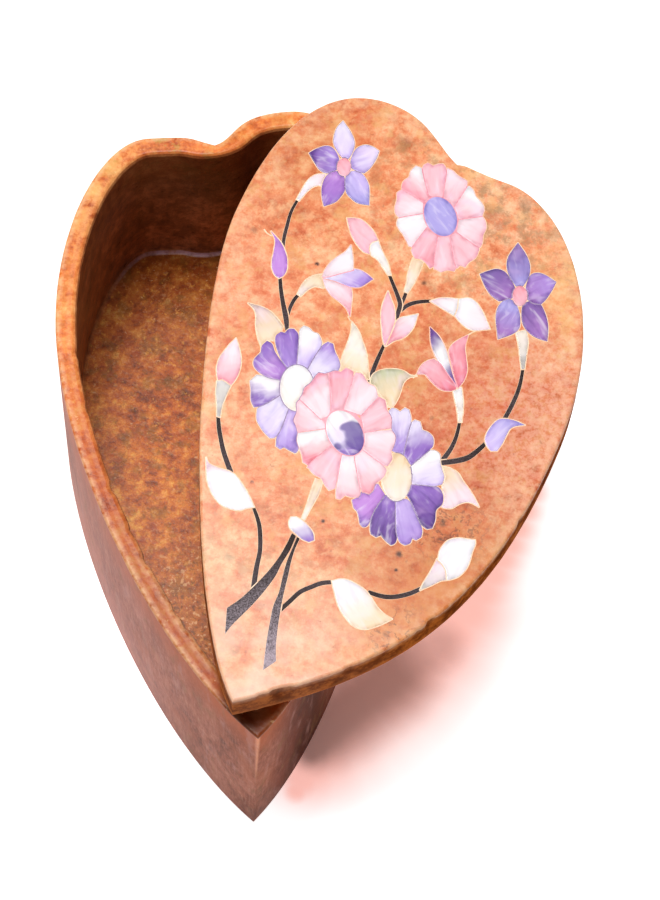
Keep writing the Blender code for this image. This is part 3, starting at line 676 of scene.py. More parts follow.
def calyxes():
    return {
        "calyx_star_left": slips(("pearl blush", strip((325, 180, 12), (317, 180, 11),
            (310, 184, 8), (304, 191, 5), (298, 200, 3)), (300, 196))),
        "calyx_star_right": slips(("silver cream", strip((521, 331, 11), (523, 342, 10),
            (523, 354, 7), (523, 369, 3)), (523, 366))),
        "calyx_rose_top": slips(("cream peach", strip((418, 260, 11), (413, 274, 10), (410, 283, 7),
            (406, 292, 3.5)), (407, 290))),
        "calyx_rose_middle": slips(("cream peach", strip((319, 480, 7), (315, 492, 8),
            (309, 506, 5), (303, 519, 3)), (304, 517))),
        "calyx_tulip_left": slips(("cream peach", strip((324, 281, 14), (314, 281, 11),
            (306, 286, 8), (299, 295, 4)), (300, 294))),
        "calyx_tulip_right": slips(("cream pearl", strip((457, 388, 9), (459, 400, 8),
            (460, 410, 6), (460, 422, 3)), (460, 420))),
        "calyx_bud_top": slips(("cream pearl", [
            (378, 240), (371, 243), (369, 250), (371, 255), (377, 259), (382, 266), (388, 275),
            (391, 275), (388, 264), (384, 255), (380, 246)], (389, 274))),
        "calyx_bud_white": slips(("blush pearl", [
            (430, 301), (440, 298), (450, 298), (459, 299), (458, 306), (455, 316), (448, 312),
            (440, 307)], (432, 301))),
        "calyx_bud_left": slips(("silver", [
            (217, 381), (222, 379), (227, 381), (231, 385), (228, 391), (225, 398), (222, 406),
            (220, 417), (217, 416), (217, 405), (216, 393)], (219, 414))),
        "calyx_bud_low": slips(("silver blush", [
            (420, 590), (424, 582), (429, 574), (433, 567), (437, 559), (443, 565), (446, 571),
            (447, 580), (440, 581), (432, 585)], (422, 588))),
    }


def stem(*stations):
    """A thin stem from its stations (across, down, width)."""
    thin = [(x, y, STEM_SHARE * width) for x, y, width in stations]
    return slips(("bark slate", strip(*thin), stations[0][:2], stations[-1][:2]))


def stems():
    return {
        "trunk_left": slips(("bark slate ash", [
            (292, 533), (286, 545), (279, 557), (270, 569), (260, 580), (250, 590), (240, 599),
            (227, 608), (226, 620), (225, 634), (232, 625), (242, 615), (252, 605), (261, 595),
            (269, 585), (276, 575), (282, 563), (290, 550), (296, 536)],
            (246, 588), (270, 636)), streak=1.0),
        "trunk_right": slips(("bark slate ash", [
            (297, 537), (292, 549), (287, 561), (283, 575), (279, 592), (273, 607), (269, 627),
            (266, 645), (263, 670), (276, 661), (276, 645), (278, 626), (281, 607), (284, 592),
            (288, 576), (291, 562), (295, 549), (300, 538)], (277, 575), (279, 668)), streak=1.0),
        "stem_star_left": stem((298, 199, 3), (291, 212, 3.5), (287, 226, 4), (284, 238, 4),
            (283, 248, 3.5)),
        "stem_leaf_bud": stem((280, 278, 4), (281, 290, 4.5), (283, 303, 5), (286, 318, 6),
            (287, 330, 4)),
        "stem_tulip_left": stem((299, 294, 3.5), (294, 300, 4), (290, 308, 4), (287, 318, 3.5)),
        "stem_bud_top": stem((389, 274, 3.5), (393, 284, 4), (397, 294, 4.5), (400, 304, 5),
            (398, 313, 5), (396, 321, 3.5)),
        "stem_rose_top": stem((407, 290, 3.5), (404, 298, 4), (400, 307, 4)),
        "stem_bud_white": stem((431, 301, 3.5), (418, 302, 4), (408, 305, 4.5), (400, 311, 4)),
        "stem_middle": stem((384, 345, 3.5), (379, 356, 4.5), (374, 368, 5), (369, 382, 4)),
        "stem_star_right": stem((523, 368, 3.5), (521, 380, 4), (518, 391, 4.5), (512, 405, 5),
            (504, 420, 5)),
        "stem_leaf_right": stem((486, 443, 4.5), (476, 452, 5.5), (467, 458, 6), (455, 461, 6),
            (439, 463, 5.5)),
        "stem_tulip_right": stem((460, 420, 3.5), (458, 430, 4), (455, 440, 4.5), (450, 450, 5),
            (442, 461, 6)),
        "stem_bud_left": stem((218, 415, 4), (219, 428, 5), (221, 440, 5), (224, 453, 5.5),
            (231, 473, 6)),
        "stem_leaf_left": stem((253, 506, 3.5), (258, 520, 4.5), (260, 532, 5), (260, 550, 5),
            (257, 565, 5.5), (255, 577, 6), (253, 592, 6)),
        "branch_low": stem((280, 610, 5), (290, 601, 5), (300, 592, 5), (311, 587, 5),
            (322, 583, 5), (334, 582, 4.5)),
        "stem_bud_low": stem((368, 592, 4.5), (381, 596, 5), (390, 597, 5), (400, 596, 5),
            (411, 593, 5), (422, 588, 4.5)),
    }


# The inlay in order of cutting: a later slip is cut back from the earlier ones
def inlay():
    return {
        "star_left_eye": slips(("pink rose", oval(344, 167, 9, 7, 90), (338, 160))),
        "star_right_eye": slips(("pink rose", oval(520, 296, 10, 7.5, 90), (515, 288))),
        "rose_top_eye": slips(
            ("periwinkle", oval(440.5, 216.5, 20.5, 15.5, 64), (430, 204)), streak=0.65),
        "rose_middle_eye": slips(
            ("pearl mist violet", oval(345, 433, 24, 17, 60), (336, 420), (350, 452)),
            streak=0.9, shade=1.0),
        "star_left_petals": star_left(),
        "star_right_petals": star_right(),
        "rose_top_petals": rose_top(),
        "rose_middle_petals": rose_middle(),
        "rose_left_eye": slips(("pearl cream", oval(297, 388, 23, 17, 90), (286, 372))),
        "rose_low_eye": slips(("peach cream", oval(396.5, 477, 24, 15, 90), (396, 460))),
        "rose_left_petals": rose_left(),
        "rose_low_petals": rose_low(),
        "tulip_left_petals": tulip_left(),
        "tulip_right_petals": tulip_right(),
        **buds(), **leaves(), **calyxes(), **stems(),
    }


def loft(levels, caps=True):
    """Closed body through (outline, height) levels of equal count."""
    bm = bmesh.new()
    rings = [[bm.verts.new((x * MM, y * MM, z * MM)) for x, y in points] for points, z in levels]
    for low, high in zip(rings, rings[1:]):
        for i in range(len(low)):
            j = (i + 1) % len(low)
            bm.faces.new((low[i], low[j], high[j], high[i]))
    if caps:
        bm.faces.new(rings[0][::-1])
        bm.faces.new(rings[-1])
    return bm


def linked(name, data):
    obj = bpy.data.objects.new(name, data)
    bpy.context.scene.collection.objects.link(obj)
    return obj


def as_object(name, bm):
    mesh = bpy.data.meshes.new(name)
    bm.to_mesh(mesh)
    bm.free()
    return linked(name, mesh)


def plane_cut(outlines, extra=()):
    """Points and triangles of a plane cut along outlines, and the outlines that hold each."""
    spots, faces = [], []
    for outline in outlines:
        faces.append(list(range(len(spots), len(spots) + len(outline))))
        spots += [Vector(spot) for spot in outline]
    spots += [Vector(spot) for spot in extra]
    made = delaunay_2d_cdt(spots, [], faces, 1, 1e-4)
    return np.array([spot[:] for spot in made[0]]), made[2], [set(held) for held in made[5]]


def borders(triangles):
    """Directed edges that only one triangle has."""
    edges = {(t[i - 1], t[i]) for t in triangles for i in range(3)}
    return [(a, b) for a, b in sorted(edges) if (b, a) not in edges]


def solid(spots, triangles, low, high):
    """Closed body over flat triangles, with one height or one for each point."""
    bm = bmesh.new()
    sheets = []
    for height in (low, high):
        level = np.broadcast_to(height, len(spots))
        sheets.append({i: bm.verts.new((spots[i][0] * MM, spots[i][1] * MM, level[i] * MM))
                       for i in sorted({i for t in triangles for i in t})})
    bottom, top = sheets
    for t in triangles:
        bm.faces.new([top[i] for i in t])
        bm.faces.new([bottom[i] for i in reversed(t)])
    for a, b in borders(triangles):
        bm.faces.new((bottom[a], bottom[b], top[b], top[a]))
    return bm


def joined_prisms(outlines, low, high):
    spots, triangles, _ = plane_cut(outlines)
    return solid(spots, triangles, low, high)


def boxes_meet(one, two, reach):
    low = np.maximum(one.min(0), two.min(0))
    high = np.minimum(one.max(0), two.max(0))
    return bool((high - low > -reach).all())


def cut_slip(slip, earlier):
    """Points and triangles of a slip cut back from its earlier neighbours, and its border."""
    outlines = [slip.outline] + [other.cutter for other in earlier
                                 if boxes_meet(slip.outline, other.outline, PETAL_GAP)]
    extra = ()
    for _ in range(2):
        spots, triangles, held = plane_cut(outlines, extra)
        own = [t for t, inside in zip(triangles, held) if inside == {0}]
        edge = np.array(borders(own))
        a, b = spots[edge[:, 0]], spots[edge[:, 1]]
        along = (b - a) / np.linalg.norm(b - a, axis=1)[:, None]
        ring = 0.5 * (a + b) + CHAMFER_WIDE * np.stack([-along[:, 1], along[:, 0]], 1)
        low, high = slip.outline.min(0), slip.outline.max(0)
        rows = np.arange(low[1], high[1], FIELD_STEP)
        field = [(x + (i % 2) * FIELD_STEP / 2, y) for i, y in enumerate(rows)
                 for x in np.arange(low[0], high[0], FIELD_STEP)]
        extra = np.vstack([ring, field])
        gap = gap_to(extra, a, b)
        clear = np.where(np.arange(len(extra)) < len(ring), RING_CLEAR, FIELD_CLEAR) * CHAMFER_WIDE
        extra = extra[gap > clear]
    return spots, own, gap_to(spots, a, b)


ATTRIBUTES = {"grain": "FLOAT_VECTOR", "blend": "FLOAT", "streak": "FLOAT", "shade": "FLOAT",
              "edge": "FLOAT", "near_tone": "FLOAT_COLOR", "middle_tone": "FLOAT_COLOR",
              "far_tone": "FLOAT_COLOR"}


def slip_data(slip, spots, triangles, gap):
    """Points, faces and the attributes that the shell's colouring reads."""
    top = LID_TOP - CHAMFER_DEEP * np.clip(1 - gap / CHAMFER_REACH, 0, 1)
    bm = solid(spots, triangles, LID_TOP - INLAY_THICKNESS, top)
    points = np.array([v.co[:] for v in bm.verts])
    index = {v: i for i, v in enumerate(bm.verts)}
    faces = [[index[v] for v in f.verts] for f in bm.faces]
    bm.free()
    order = sorted({i for t in triangles for i in t})
    flat = points[:, :2] / MM
    run = slip.end - slip.start
    away = flat - slip.start
    across = np.array([-slip.axis[1], slip.axis[0]])
    ones = np.ones((len(flat), 1))
    grain = np.hstack([away @ slip.axis[:, None], away @ across[:, None], slip.seed * ones])
    values = {"grain": grain, "blend": away @ run / (run @ run), "streak": slip.streak * ones[:, 0],
              "shade": slip.shade * ones[:, 0], "edge": np.tile(gap[order], 2),
              **{name: ones * np.array([*tone, 1.0])
                 for name, tone in zip(("near_tone", "middle_tone", "far_tone"), slip.tones)}}
    return points, faces, values


def inlay_object(name, parts):
    """One object from the slips of a node, with their attributes."""
    mesh = bpy.data.meshes.new(name)
    starts = np.cumsum([0] + [len(spots) for spots, _, _ in parts])
    faces = [[i + start for i in face] for start, (_, own, _) in zip(starts, parts) for face in own]
    mesh.from_pydata(np.vstack([spots for spots, _, _ in parts]).tolist(), [], faces)
    for key, kind in ATTRIBUTES.items():
        layer = mesh.attributes.new(key, kind, "POINT")
        field = {"FLOAT_VECTOR": "vector", "FLOAT": "value", "FLOAT_COLOR": "color"}[kind]
        values = np.concatenate([values[key] for _, _, values in parts]).astype(np.float32)
        layer.data.foreach_set(field, values.ravel())
    return linked(name, mesh)


def ripple(outline, size, seed):
    """Slow hand-cut waver along an outline, between 0 and size."""
    rng = np.random.default_rng(seed)
    step = np.linalg.norm(np.roll(outline, -1, 0) - outline, axis=1)
    way = np.cumsum(step) / step.sum() * 2 * math.pi
    wave = sum(np.sin(k * way + rng.uniform(0, 2 * math.pi)) / k ** WAVE_FALL for k in WAVES)
    return size * 0.5 * (1 + wave / np.abs(wave).max())


def nicks(outline, specs):
    """Depth of small chips along an outline, from (place, depth, half width)."""
    depth = np.zeros(len(outline))
    for place, deep, wide in specs:
        away = np.linalg.norm(outline - place, axis=1)
        depth = np.maximum(depth, deep * np.clip(CHIP_BODY - (away / wide) ** 2, 0, 1))
    return depth


def with_attribute(obj, name, values):
    layer = obj.data.attributes.new(name, "FLOAT", "POINT")
    layer.data.foreach_set("value", np.asarray(values, np.float32))


def round_edge(outline, inset, top, radius):
    """Levels that turn from the side onto the top over a rounded edge."""
    levels = []
    for i in range(EDGE_STEPS + 1):
        t = 0.5 * math.pi * i / EDGE_STEPS
        levels.append((shrink(outline, inset + radius * (1 - math.cos(t))),
                       top - radius * (1 - math.sin(t))))
    return levels


def stone_box():
    """The open box, from its foot over the rim down to the floor of its hollow."""
    rim = BOX_OUTLINE + ORIGIN
    waver = ripple(rim, RIM_WAVER, 3)
    low = shrink(rim, BASE_INSET)
    levels, marks = [], []

    # Marks of each level: pale edges that are partly wear and partly painted highlight, the inside,
    # and the floor
    def add(outline, height, wear=0.0, inside=0.0, floor=0.0):
        levels.append((outline, height))
        marks.append((wear, inside, floor))

    for inset, height in FOOT:
        add(shrink(low, inset) if inset else low, height, wear=FOOT_WEAR_AND_HIGHLIGHT)
    for share in WALL_SHARES:
        wall = (1 - share) * low + share * rim
        add(offset(wall, -waver * share),
            share * (BOX_HEIGHT - WALL_TOP_GAP) + (1 - share) * FOOT[-1][1],
            wear=WALL_WEAR_AND_HIGHLIGHT if share == WALL_SHARES[-1] else 0.0)
    walls = len(levels) * len(rim)
    for outline, height in round_edge(rim, waver, BOX_HEIGHT, RIM_RADIUS):
        add(outline, height, wear=1.0)
    for inset, down in RIM_FLAT:
        add(shrink(rim, inset), BOX_HEIGHT - down)

    hollow = shrink(rim, WALL)
    chips = nicks(hollow, [(on_level(x, y, BOX_HEIGHT), *size) for x, y, *size in RIM_CHIPS])
    carve = ripple(rim, HOLLOW_WAVER, 8) - HOLLOW_WAVER / 2 + HOLLOW_CHIPS * chips
    cleft = np.array([0.0, (BOX_CLEFT - 0.5) * BOX_LENGTH - WALL]) + ORIGIN
    away = np.linalg.norm(hollow - cleft, axis=1)
    soft = np.clip(CLEFT_SOFT - away / CLEFT_REACH, SIDE_SOFT, 1)[:, None]
    for _ in range(HOLLOW_PASSES):
        middle = 0.5 * (np.roll(hollow, 1, 0) + np.roll(hollow, -1, 0))
        hollow = hollow + PASS_SHARE * soft * (middle - hollow)
    for out, down, dark in MOUTH:
        add(offset(hollow, carve + out), BOX_HEIGHT - down, wear=MOUTH_WEAR_AND_HIGHLIGHT, inside=dark)
    for share in HOLLOW_SHARES:
        add(offset(hollow, carve + HOLLOW_BELLY * math.sin(3 * share)),
            BOX_HEIGHT - share * (BOX_HEIGHT - FLOOR_THICKNESS),
            inside=max(DARK_FROM, min(1, share * 5)))
    for share in COVE_SHARES:
        turn = 0.5 * math.pi * share
        add(shrink(hollow, COVE_RADIUS * (1 - math.cos(turn))),
            FLOOR_THICKNESS + COVE_RADIUS * (1 - math.sin(turn)),
            wear=COVE_WEAR_AND_HIGHLIGHT if 0 < share < 1 else 0.0, inside=1, floor=share)
    add(shrink(hollow, DISH_INSET), FLOOR_THICKNESS - DISH_DEPTH, inside=1, floor=1)

    body = as_object("stone_box", loft(levels))
    for face in body.data.polygons[:walls]:
        face.material_index = 1
    for column, name in enumerate(("wear", "inside", "floor")):
        with_attribute(body, name, np.repeat([mark[column] for mark in marks], len(rim)))
    return body


def stone_lid(beds):
    """The lid with its face cut open over the beds, which sink to the floor of the pockets."""
    edge = LID_OUTLINE
    chips = nicks(lid_place(edge), [(on_lid(x, y), *size) for x, y, *size in LID_CHIPS])
    waver = LID_INSET + ripple(edge, LID_WAVER, 5)
    slab_low = LID_LOW + LIP_DEPTH
    top = LID_TOP - STONE_SUNK
    levels = [(shrink(edge, LIP_INSET + inset), LID_LOW + height) for inset, height in LIP_SIDE]
    levels += [(shrink(edge, inset + waver), slab_low + height) for inset, height in SLAB_FOOT]
    levels += [(shrink(edge, waver + share * chips), top - down) for share, down in CHIPS_DOWN]
    sides = (len(levels) - 1) * len(edge)
    levels += round_edge(edge, waver + CHIPS_ABOVE * chips, top, LID_RADIUS)[1:]
    bm = loft([(lid_place(points), z) for points, z in levels], caps=False)
    bm.verts.ensure_lookup_table()
    bm.faces.new(bm.verts[:len(edge)][::-1])
    for face in list(bm.faces)[:sides]:
        face.material_index = 1
    ring = list(bm.verts)[-len(edge):]
    outline = np.array([v.co[:2] for v in ring]) / MM
    spots, triangles, held = plane_cut([outline] + beds)
    face = [t for t, inside in zip(triangles, held) if inside == {0}]
    sunk = [t for t, inside in zip(triangles, held) if inside - {0}]
    corner = {i: ring[np.abs(outline - spots[i]).sum(1).argmin()]
              for i in {i for pair in borders(face + sunk) for i in pair}}
    for t in face:
        for i in t:
            if i not in corner:
                corner[i] = bm.verts.new((*(spots[i] * MM), top * MM))
        bm.faces.new([corner[i] for i in t])
    floor = {i: bm.verts.new((*(spots[i] * MM), POCKET_LOW * MM))
             for i in {i for t in sunk for i in t}}
    for t in sunk:
        bm.faces.new([floor[i] for i in t])
    for a, b in borders(sunk):
        bm.faces.new((corner[a], corner[b], floor[b], floor[a]))
    lid = as_object("stone_lid", bm)
    spots = np.array([v.co[:] for v in lid.data.vertices]) / MM
    gap = gap_to(spots[:, :2], lid_place(shrink(edge, waver)))
    # Pale edges near the top and the foot of the slab: partly wear, partly painted highlight
    near = np.clip(WEAR_AND_HIGHLIGHT_SPREAD - gap / WEAR_AND_HIGHLIGHT_REACH, 0, 1)
    upper = near * np.clip((spots[:, 2] - top + UPPER_WEAR_AND_HIGHLIGHT[0]) / UPPER_WEAR_AND_HIGHLIGHT[1], 0, 1)
    lower = near * np.clip((slab_low + LOWER_WEAR_AND_HIGHLIGHT[0] - spots[:, 2]) / LOWER_WEAR_AND_HIGHLIGHT[1], 0, 1)
    with_attribute(lid, "wear", np.maximum(upper, LOWER_SHARE * lower))
    with_attribute(lid, "side", np.clip((top - SIDE_FADE[0] - spots[:, 2]) / SIDE_FADE[1], 0, 1))
    return lid


# Small chips read in the picture: across, down, depth and half width in millimetres
RIM_CHIPS = [(114, 487, 0.5, 1.0), (133, 529, 0.4, 0.8), (148, 559, 0.55, 1.2), (176, 610, 0.45, 1.0),
             (187, 626, 0.5, 0.9), (86, 408, 0.35, 0.9), (75, 352, 0.3, 0.8)]
LID_CHIPS = [(279, 691, 0.55, 1.6), (288, 690, 0.4, 0.9), (432, 621, 0.5, 0.9), (415, 629, 0.35, 0.7),
             (262, 697, 0.25, 0.7), (520, 520, 0.25, 0.6), (350, 668, 0.2, 0.8)]

# Dark specks in the lid: across, down, reach and depth of tone
LID_SPECKS = [(317, 264, 0.55, 1.0), (424, 283, 0.6, 0.7), (252, 482, 0.4, 0.9), (323, 521, 0.5, 1.0),
              (443, 523, 1.0, 0.7), (399, 554, 0.8, 0.9), (440, 540, 0.8, 0.7), (448, 538, 0.9, 0.5),
              (396, 570, 0.45, 1.0), (421, 543, 0.5, 0.8), (432, 418, 0.6, 0.4), (229, 557, 1.2, 0.35),
              (254, 230, 0.9, 0.45), (235, 650, 1.2, 0.3), (386, 634, 0.8, 0.5), (489, 214, 2.4, 0.35),
              (500, 226, 1.6, 0.3), (404, 145, 2.2, 0.3), (526, 205, 2.0, 0.35)]

# Zones of stone, shell and paper as read in the picture: across, down, height and reach
ZONES = {
    "olive_stain": (505, 195, LID_TOP, 30.0),
    "left_stain": (232, 555, LID_TOP, 22.0),
    "amber_edge": (470, 645, LID_TOP, 24.0),
    "deeper_front": (450, 580, LID_TOP, 24.0),
    "cracks_by_rose": (450, 528, LID_TOP, 9.0),
    "cracks_by_edge": (400, 640, LID_TOP, 8.0),
    "rust_middle": (475, 410, LID_TOP, 26.0),
    "rosy_right": (545, 430, LID_TOP, 22.0),
    "tawny_top": (305, 145, LID_TOP, 15.0),
    "light_right": (552, 275, LID_TOP, 30.0),
    "warm_left": (240, 290, LID_TOP, 15.0),
    "painted_glare_tip": (262, 700, LID_TOP, 25.0),
    "yellow_edge": (575, 290, LID_TOP, 12.0),
    "plum_patch": (354, 436, LID_TOP, 4.4),
    "paper_reflection_wall": (100, 590, 0.0, 40.0),
    "shaded_wall": (322, 714, 20.0, 14.0),
    "ruddy_wall": (288, 748, 16.0, 8.0),
    "mossy_cleft": (158, 140, BOX_HEIGHT, 14.0),
    "sunny_rim": (100, 190, BOX_HEIGHT, 18.0),
    "dark_rim": (200, 640, BOX_HEIGHT, 48.0),
    "left_rim": (78, 440, BOX_HEIGHT, 20.0),
    "shaded_rim_tip": (244, 738, BOX_HEIGHT, 13.0),
    "shadow_under_lid": (242, 718, BOX_HEIGHT, 6.5),
    "rim_wear_and_highlight": (170, 615, BOX_HEIGHT, 18.0),
    "shaded_back_floor": (175, 262, FLOOR_THICKNESS, 34.0),
    "pale_floor": (215, 640, FLOOR_THICKNESS, 26.0),
    "floor_glint": (182, 250, FLOOR_THICKNESS, 15.0),
    "gloomy_wall": (215, 190, 25.0, 25.0),
    "lit_paper": (470, 700, 0.0, 110.0),
    "fading_shade": (450, 640, 0.0, 11.0),
}


class Value:
    """A number that varies over a surface: arithmetic on it adds Math nodes."""

    def __init__(self, finish, socket):
        self.finish, self.socket = finish, socket

    def __add__(self, other):
        return self.finish.math("ADD", self, other)

    def __sub__(self, other):
        return self.finish.math("SUBTRACT", self, other)

    def __rsub__(self, other):
        return self.finish.math("SUBTRACT", other, self)

    def __mul__(self, other):
        return self.finish.math("MULTIPLY", self, other)

    __radd__ = __add__
    __rmul__ = __mul__

    def clipped(self):
        return self.finish.node("ShaderNodeClamp", {}, {0: self})

    def step(self, low, high):
        """0 below low and 1 above high, with a soft way between them."""
        return self.finish.node("ShaderNodeMapRange", {"interpolation_type": "SMOOTHSTEP"},
                                {0: self, 1: low, 2: high, 3: 0.0, 4: 1.0})


class Finish:
    """A material built from nodes on its Principled shader."""

    def __init__(self, name, **constants):
        self.material = bpy.data.materials.new(name)
        self.material.use_nodes = True
        self.tree = self.material.node_tree
        self.shader = self.tree.nodes["Principled BSDF"]
        self.set(**constants)

    def node(self, kind, settings, sockets, output=0):
        """Any node, from its settings or a ramp's stops, and then its sockets' values or links."""
        made = self.tree.nodes.new(kind)
        for name, value in settings.items():
            if name == "stops":
                elements = made.color_ramp.elements
                while len(elements) < len(value):
                    elements.new(0.5)
                for element, (at, colour) in zip(elements, value):
                    element.position = at
                    element.color = (*colour, 1.0)
            else:
                setattr(made, name, value)
        for key, value in sockets.items():
            self.feed(made.inputs[key], value)
        return Value(self, made.outputs[output])

    def feed(self, socket, value):
        if isinstance(value, Value):
            self.tree.links.new(value.socket, socket)
        elif isinstance(value, tuple) and len(value) == 3 and socket.type == "RGBA":
            socket.default_value = (*value, 1.0)
        else:
            socket.default_value = value

    def set(self, **sockets):
        for name, value in sockets.items():
            self.feed(self.shader.inputs[name.replace("_", " ")], value)

    def math(self, operation, one, two):
        return self.node("ShaderNodeMath", {"operation": operation}, {0: one, 1: two})

    def mix(self, share, one, two, blend="MIX"):
        return self.node("ShaderNodeMix", {"data_type": "RGBA", "blend_type": blend},
                         {0: share, 6: one, 7: two}, output=2)

    def coats(self, colour, *layers):
        """A colour under layers of (share, colour), or of (share, factors, "MULTIPLY")."""
        for share, over, *blend in layers:
            colour = self.mix(share, colour, over, *blend)
        return colour

    def ramp(self, value, *stops, light=1.0):
        """Colours along a value, from stops of its place and the display colour there."""
        stops = [(at, lin(*tone, light)) for at, *tone in stops]
        return self.node("ShaderNodeValToRGB", {"stops": stops}, {0: value})

    def attribute(self, name, output=2):
        return self.node("ShaderNodeAttribute", {"attribute_name": name}, {}, output)

    def millimetres(self, stretch=(1.0, 1.0, 1.0), turn=0.0):
        """Place on the object in millimetres, with an optional stretch and turn about Z."""
        place = self.node("ShaderNodeTexCoord", {}, {}, output="Object")
        return self.node("ShaderNodeMapping", {}, {
            "Vector": place, "Rotation": (0.0, 0.0, turn),
            "Scale": tuple(s / MM for s in stretch)})

    def height(self):
        return self.node("ShaderNodeSeparateXYZ", {}, {0: self.millimetres()}, output=2)

    def scaled(self, vector, scale):
        return self.node("ShaderNodeMapping", {}, {"Vector": vector, "Scale": scale})

    def noise(self, vector, size, detail=4.0, roughness=0.55, distortion=0.0):
        return self.node("ShaderNodeTexNoise", {}, {
            "Vector": vector, "Scale": 1.0 / size, "Detail": detail, "Roughness": roughness,
            "Distortion": distortion})

    def patches(self, size, detail, roughness, low, high, turn=0.0, stretch=(1.0, 1.0, 1.0)):
        """Soft-edged patches of a size in millimetres: 1 inside them and 0 between."""
        return self.noise(self.millimetres(stretch, turn), size, detail, roughness).step(low, high)

    def cells(self, vector, size, detail=3.0, roughness=0.6):
        """Distance to the nearest of scattered points, broken up by finer ones."""
        return self.node("ShaderNodeTexVoronoi", {"normalize": True}, {
            "Vector": vector, "Scale": 1.0 / size, "Detail": detail, "Roughness": roughness},
            output="Distance")

    def near(self, spot, reach):
        """1 at a spot seen from above and 0 beyond its reach, in millimetres."""
        away = self.node("ShaderNodeVectorMath", {"operation": "DISTANCE"},
                         {0: self.millimetres((1, 1, 0)), 1: (spot[0], spot[1], 0.0)}, output="Value")
        return 1.0 - away.step(0.15 * reach, reach)

    def zone(self, name):
        """1 in the middle of a zone and 0 beyond its reach."""
        across, down, level, reach = ZONES[name]
        return self.near(on_level(across, down, level), reach)

    def bump(self, height, strength, distance):
        return self.node("ShaderNodeBump", {}, {"Strength": strength, "Distance": distance,
                                                "Height": height})


def lid_finish(name, polish):
    """Polished peach marble: red-orange mottling, olive stains, specks, painted glare and pale edges
    of wear and painted highlight.
    """
    f = Finish(name, IOR=1.5, Specular_IOR_Level=polish)
    place = f.millimetres()
    mottle = f.noise(place, 2.9, 5.0, 0.72)
    grain = f.noise(place, 0.62, 3.0, 0.6)
    tone = f.noise(place, 13.0, 2.0, 0.5) * 0.28 + mottle * 0.75 + grain * 0.2 - 0.115
    pebbles = f.cells(place, 2.6)
    pepper = f.noise(place, 1.15, 3.0, 0.6)
    stain = f.patches(2.4, 5.0, 0.7, 0.46, 0.64, turn=0.5)
    stained = f.zone("olive_stain") + f.zone("left_stain") * 0.5
    amber = f.zone("amber_edge") * (mottle.step(0.36, 0.6) * 0.5 + 0.4)
    thread = f.noise(f.millimetres(turn=0.3), 3.0, 4.0, 0.6) - 0.5
    crack = (1.0 - (thread * thread).step(0.0001, 0.0011)) * grain.step(0.4, 0.55)
    rust = f.zone("rust_middle")
    rusty = f.patches(1.5, 3.0, 0.6, 0.56, 0.68, turn=1.4) * (rust * 0.4 + 0.15)
    specks = sum(f.near(on_lid(x, y), size) * depth for x, y, size, depth in LID_SPECKS)
    face = f.coats(
        f.ramp(tone, (0.33, 196, 94, 56), (0.43, 228, 130, 84), (0.5, 242, 152, 104),
               (0.57, 248, 174, 128), (0.68, 252, 202, 156)),
        (pebbles.step(0.34, 0.52) * 0.45, lin(220, 108, 68)),
        ((1.0 - pebbles).step(0.66, 0.86) * 0.4, lin(254, 210, 160)),
        (pepper.step(0.54, 0.66) * 0.36, lin(222, 112, 74)),
        ((1.0 - pepper).step(0.55, 0.68) * 0.3, lin(252, 206, 156)),
        (f.patches(3.6, 5.0, 0.7, 0.53, 0.63) * 0.42, lin(222, 104, 62)),
        (f.patches(4.4, 4.0, 0.68, 0.52, 0.64, turn=0.9) * 0.5, lin(236, 174, 108)),
        (stain * (stained * 0.65 + 0.14).clipped(), lin(176, 128, 88)),
        (amber, lin(244, 164, 88)),
        (f.zone("deeper_front") * 0.9, (0.78, 0.64, 0.55), "MULTIPLY"),
        (crack * (f.zone("cracks_by_rose") + f.zone("cracks_by_edge")) * 0.6, lin(96, 56, 44)),
        (rust * 0.85, (0.84, 0.7, 0.65), "MULTIPLY"),
        (rusty, lin(214, 98, 62)),
        (f.zone("rosy_right") * grain.step(0.35, 0.6) * 0.4, lin(248, 178, 156)),
        (f.zone("tawny_top") * 0.8, (0.86, 0.78, 0.66), "MULTIPLY"),
        (f.zone("light_right") * 0.7, (1.06, 1.2, 1.36), "MULTIPLY"),
        (f.zone("warm_left") * 0.8, (0.97, 0.85, 0.86), "MULTIPLY"),
        # Painted glare: a pale pink sheen on the lid towards the tip
        (f.zone("painted_glare_tip") * f.patches(6.0, 3.0, 0.5, 0.3, 0.6) * 0.55, lin(255, 214, 190)),
        (f.zone("yellow_edge") * mottle.step(0.4, 0.6) * 0.4, lin(250, 180, 104)),
        (f.patches(1.0, 2.0, 0.5, 0.7, 0.78) * 0.4, lin(150, 96, 66)),
        ((specks * grain.step(0.3, 0.5)).clipped(), lin(70, 42, 36)))
    side = f.attribute("side")
    sill = 1.0 - f.height().step(LID_LOW + LIP_DEPTH, LID_LOW + LIP_DEPTH + 2.4)
    # The side: sawn stone, darker partly as painted shade
    sawn_and_shaded_side = f.coats(
        f.ramp(tone, (0.36, 56, 22, 2), (0.5, 106, 48, 10), (0.62, 166, 92, 34), light=0.75),
        (sill * 0.6, lin(196, 116, 60, 0.75)))
    # Pale edges: partly wear, partly painted highlight
    wear = f.attribute("wear") * f.patches(1.6, 4.0, 0.6, 0.35, 0.65) * (1.0 - side * 0.6)
    f.set(Base_Color=f.coats(face, (side * 0.9, sawn_and_shaded_side), (wear * 0.5, lin(253, 212, 170))),
          Roughness=mottle * 0.12 + grain * 0.08 + wear * 0.15 + side * 0.25 + 0.12,
          Normal=f.bump(grain * 0.5 + mottle * 0.5, 0.12, 0.0002))
    return f.material


def stone_grain(f):
    """Blotches and fine grain of the box's stone."""
    place = f.millimetres()
    return f.noise(place, 2.6, 5.0, 0.72), f.noise(place, 0.6, 3.0, 0.65)


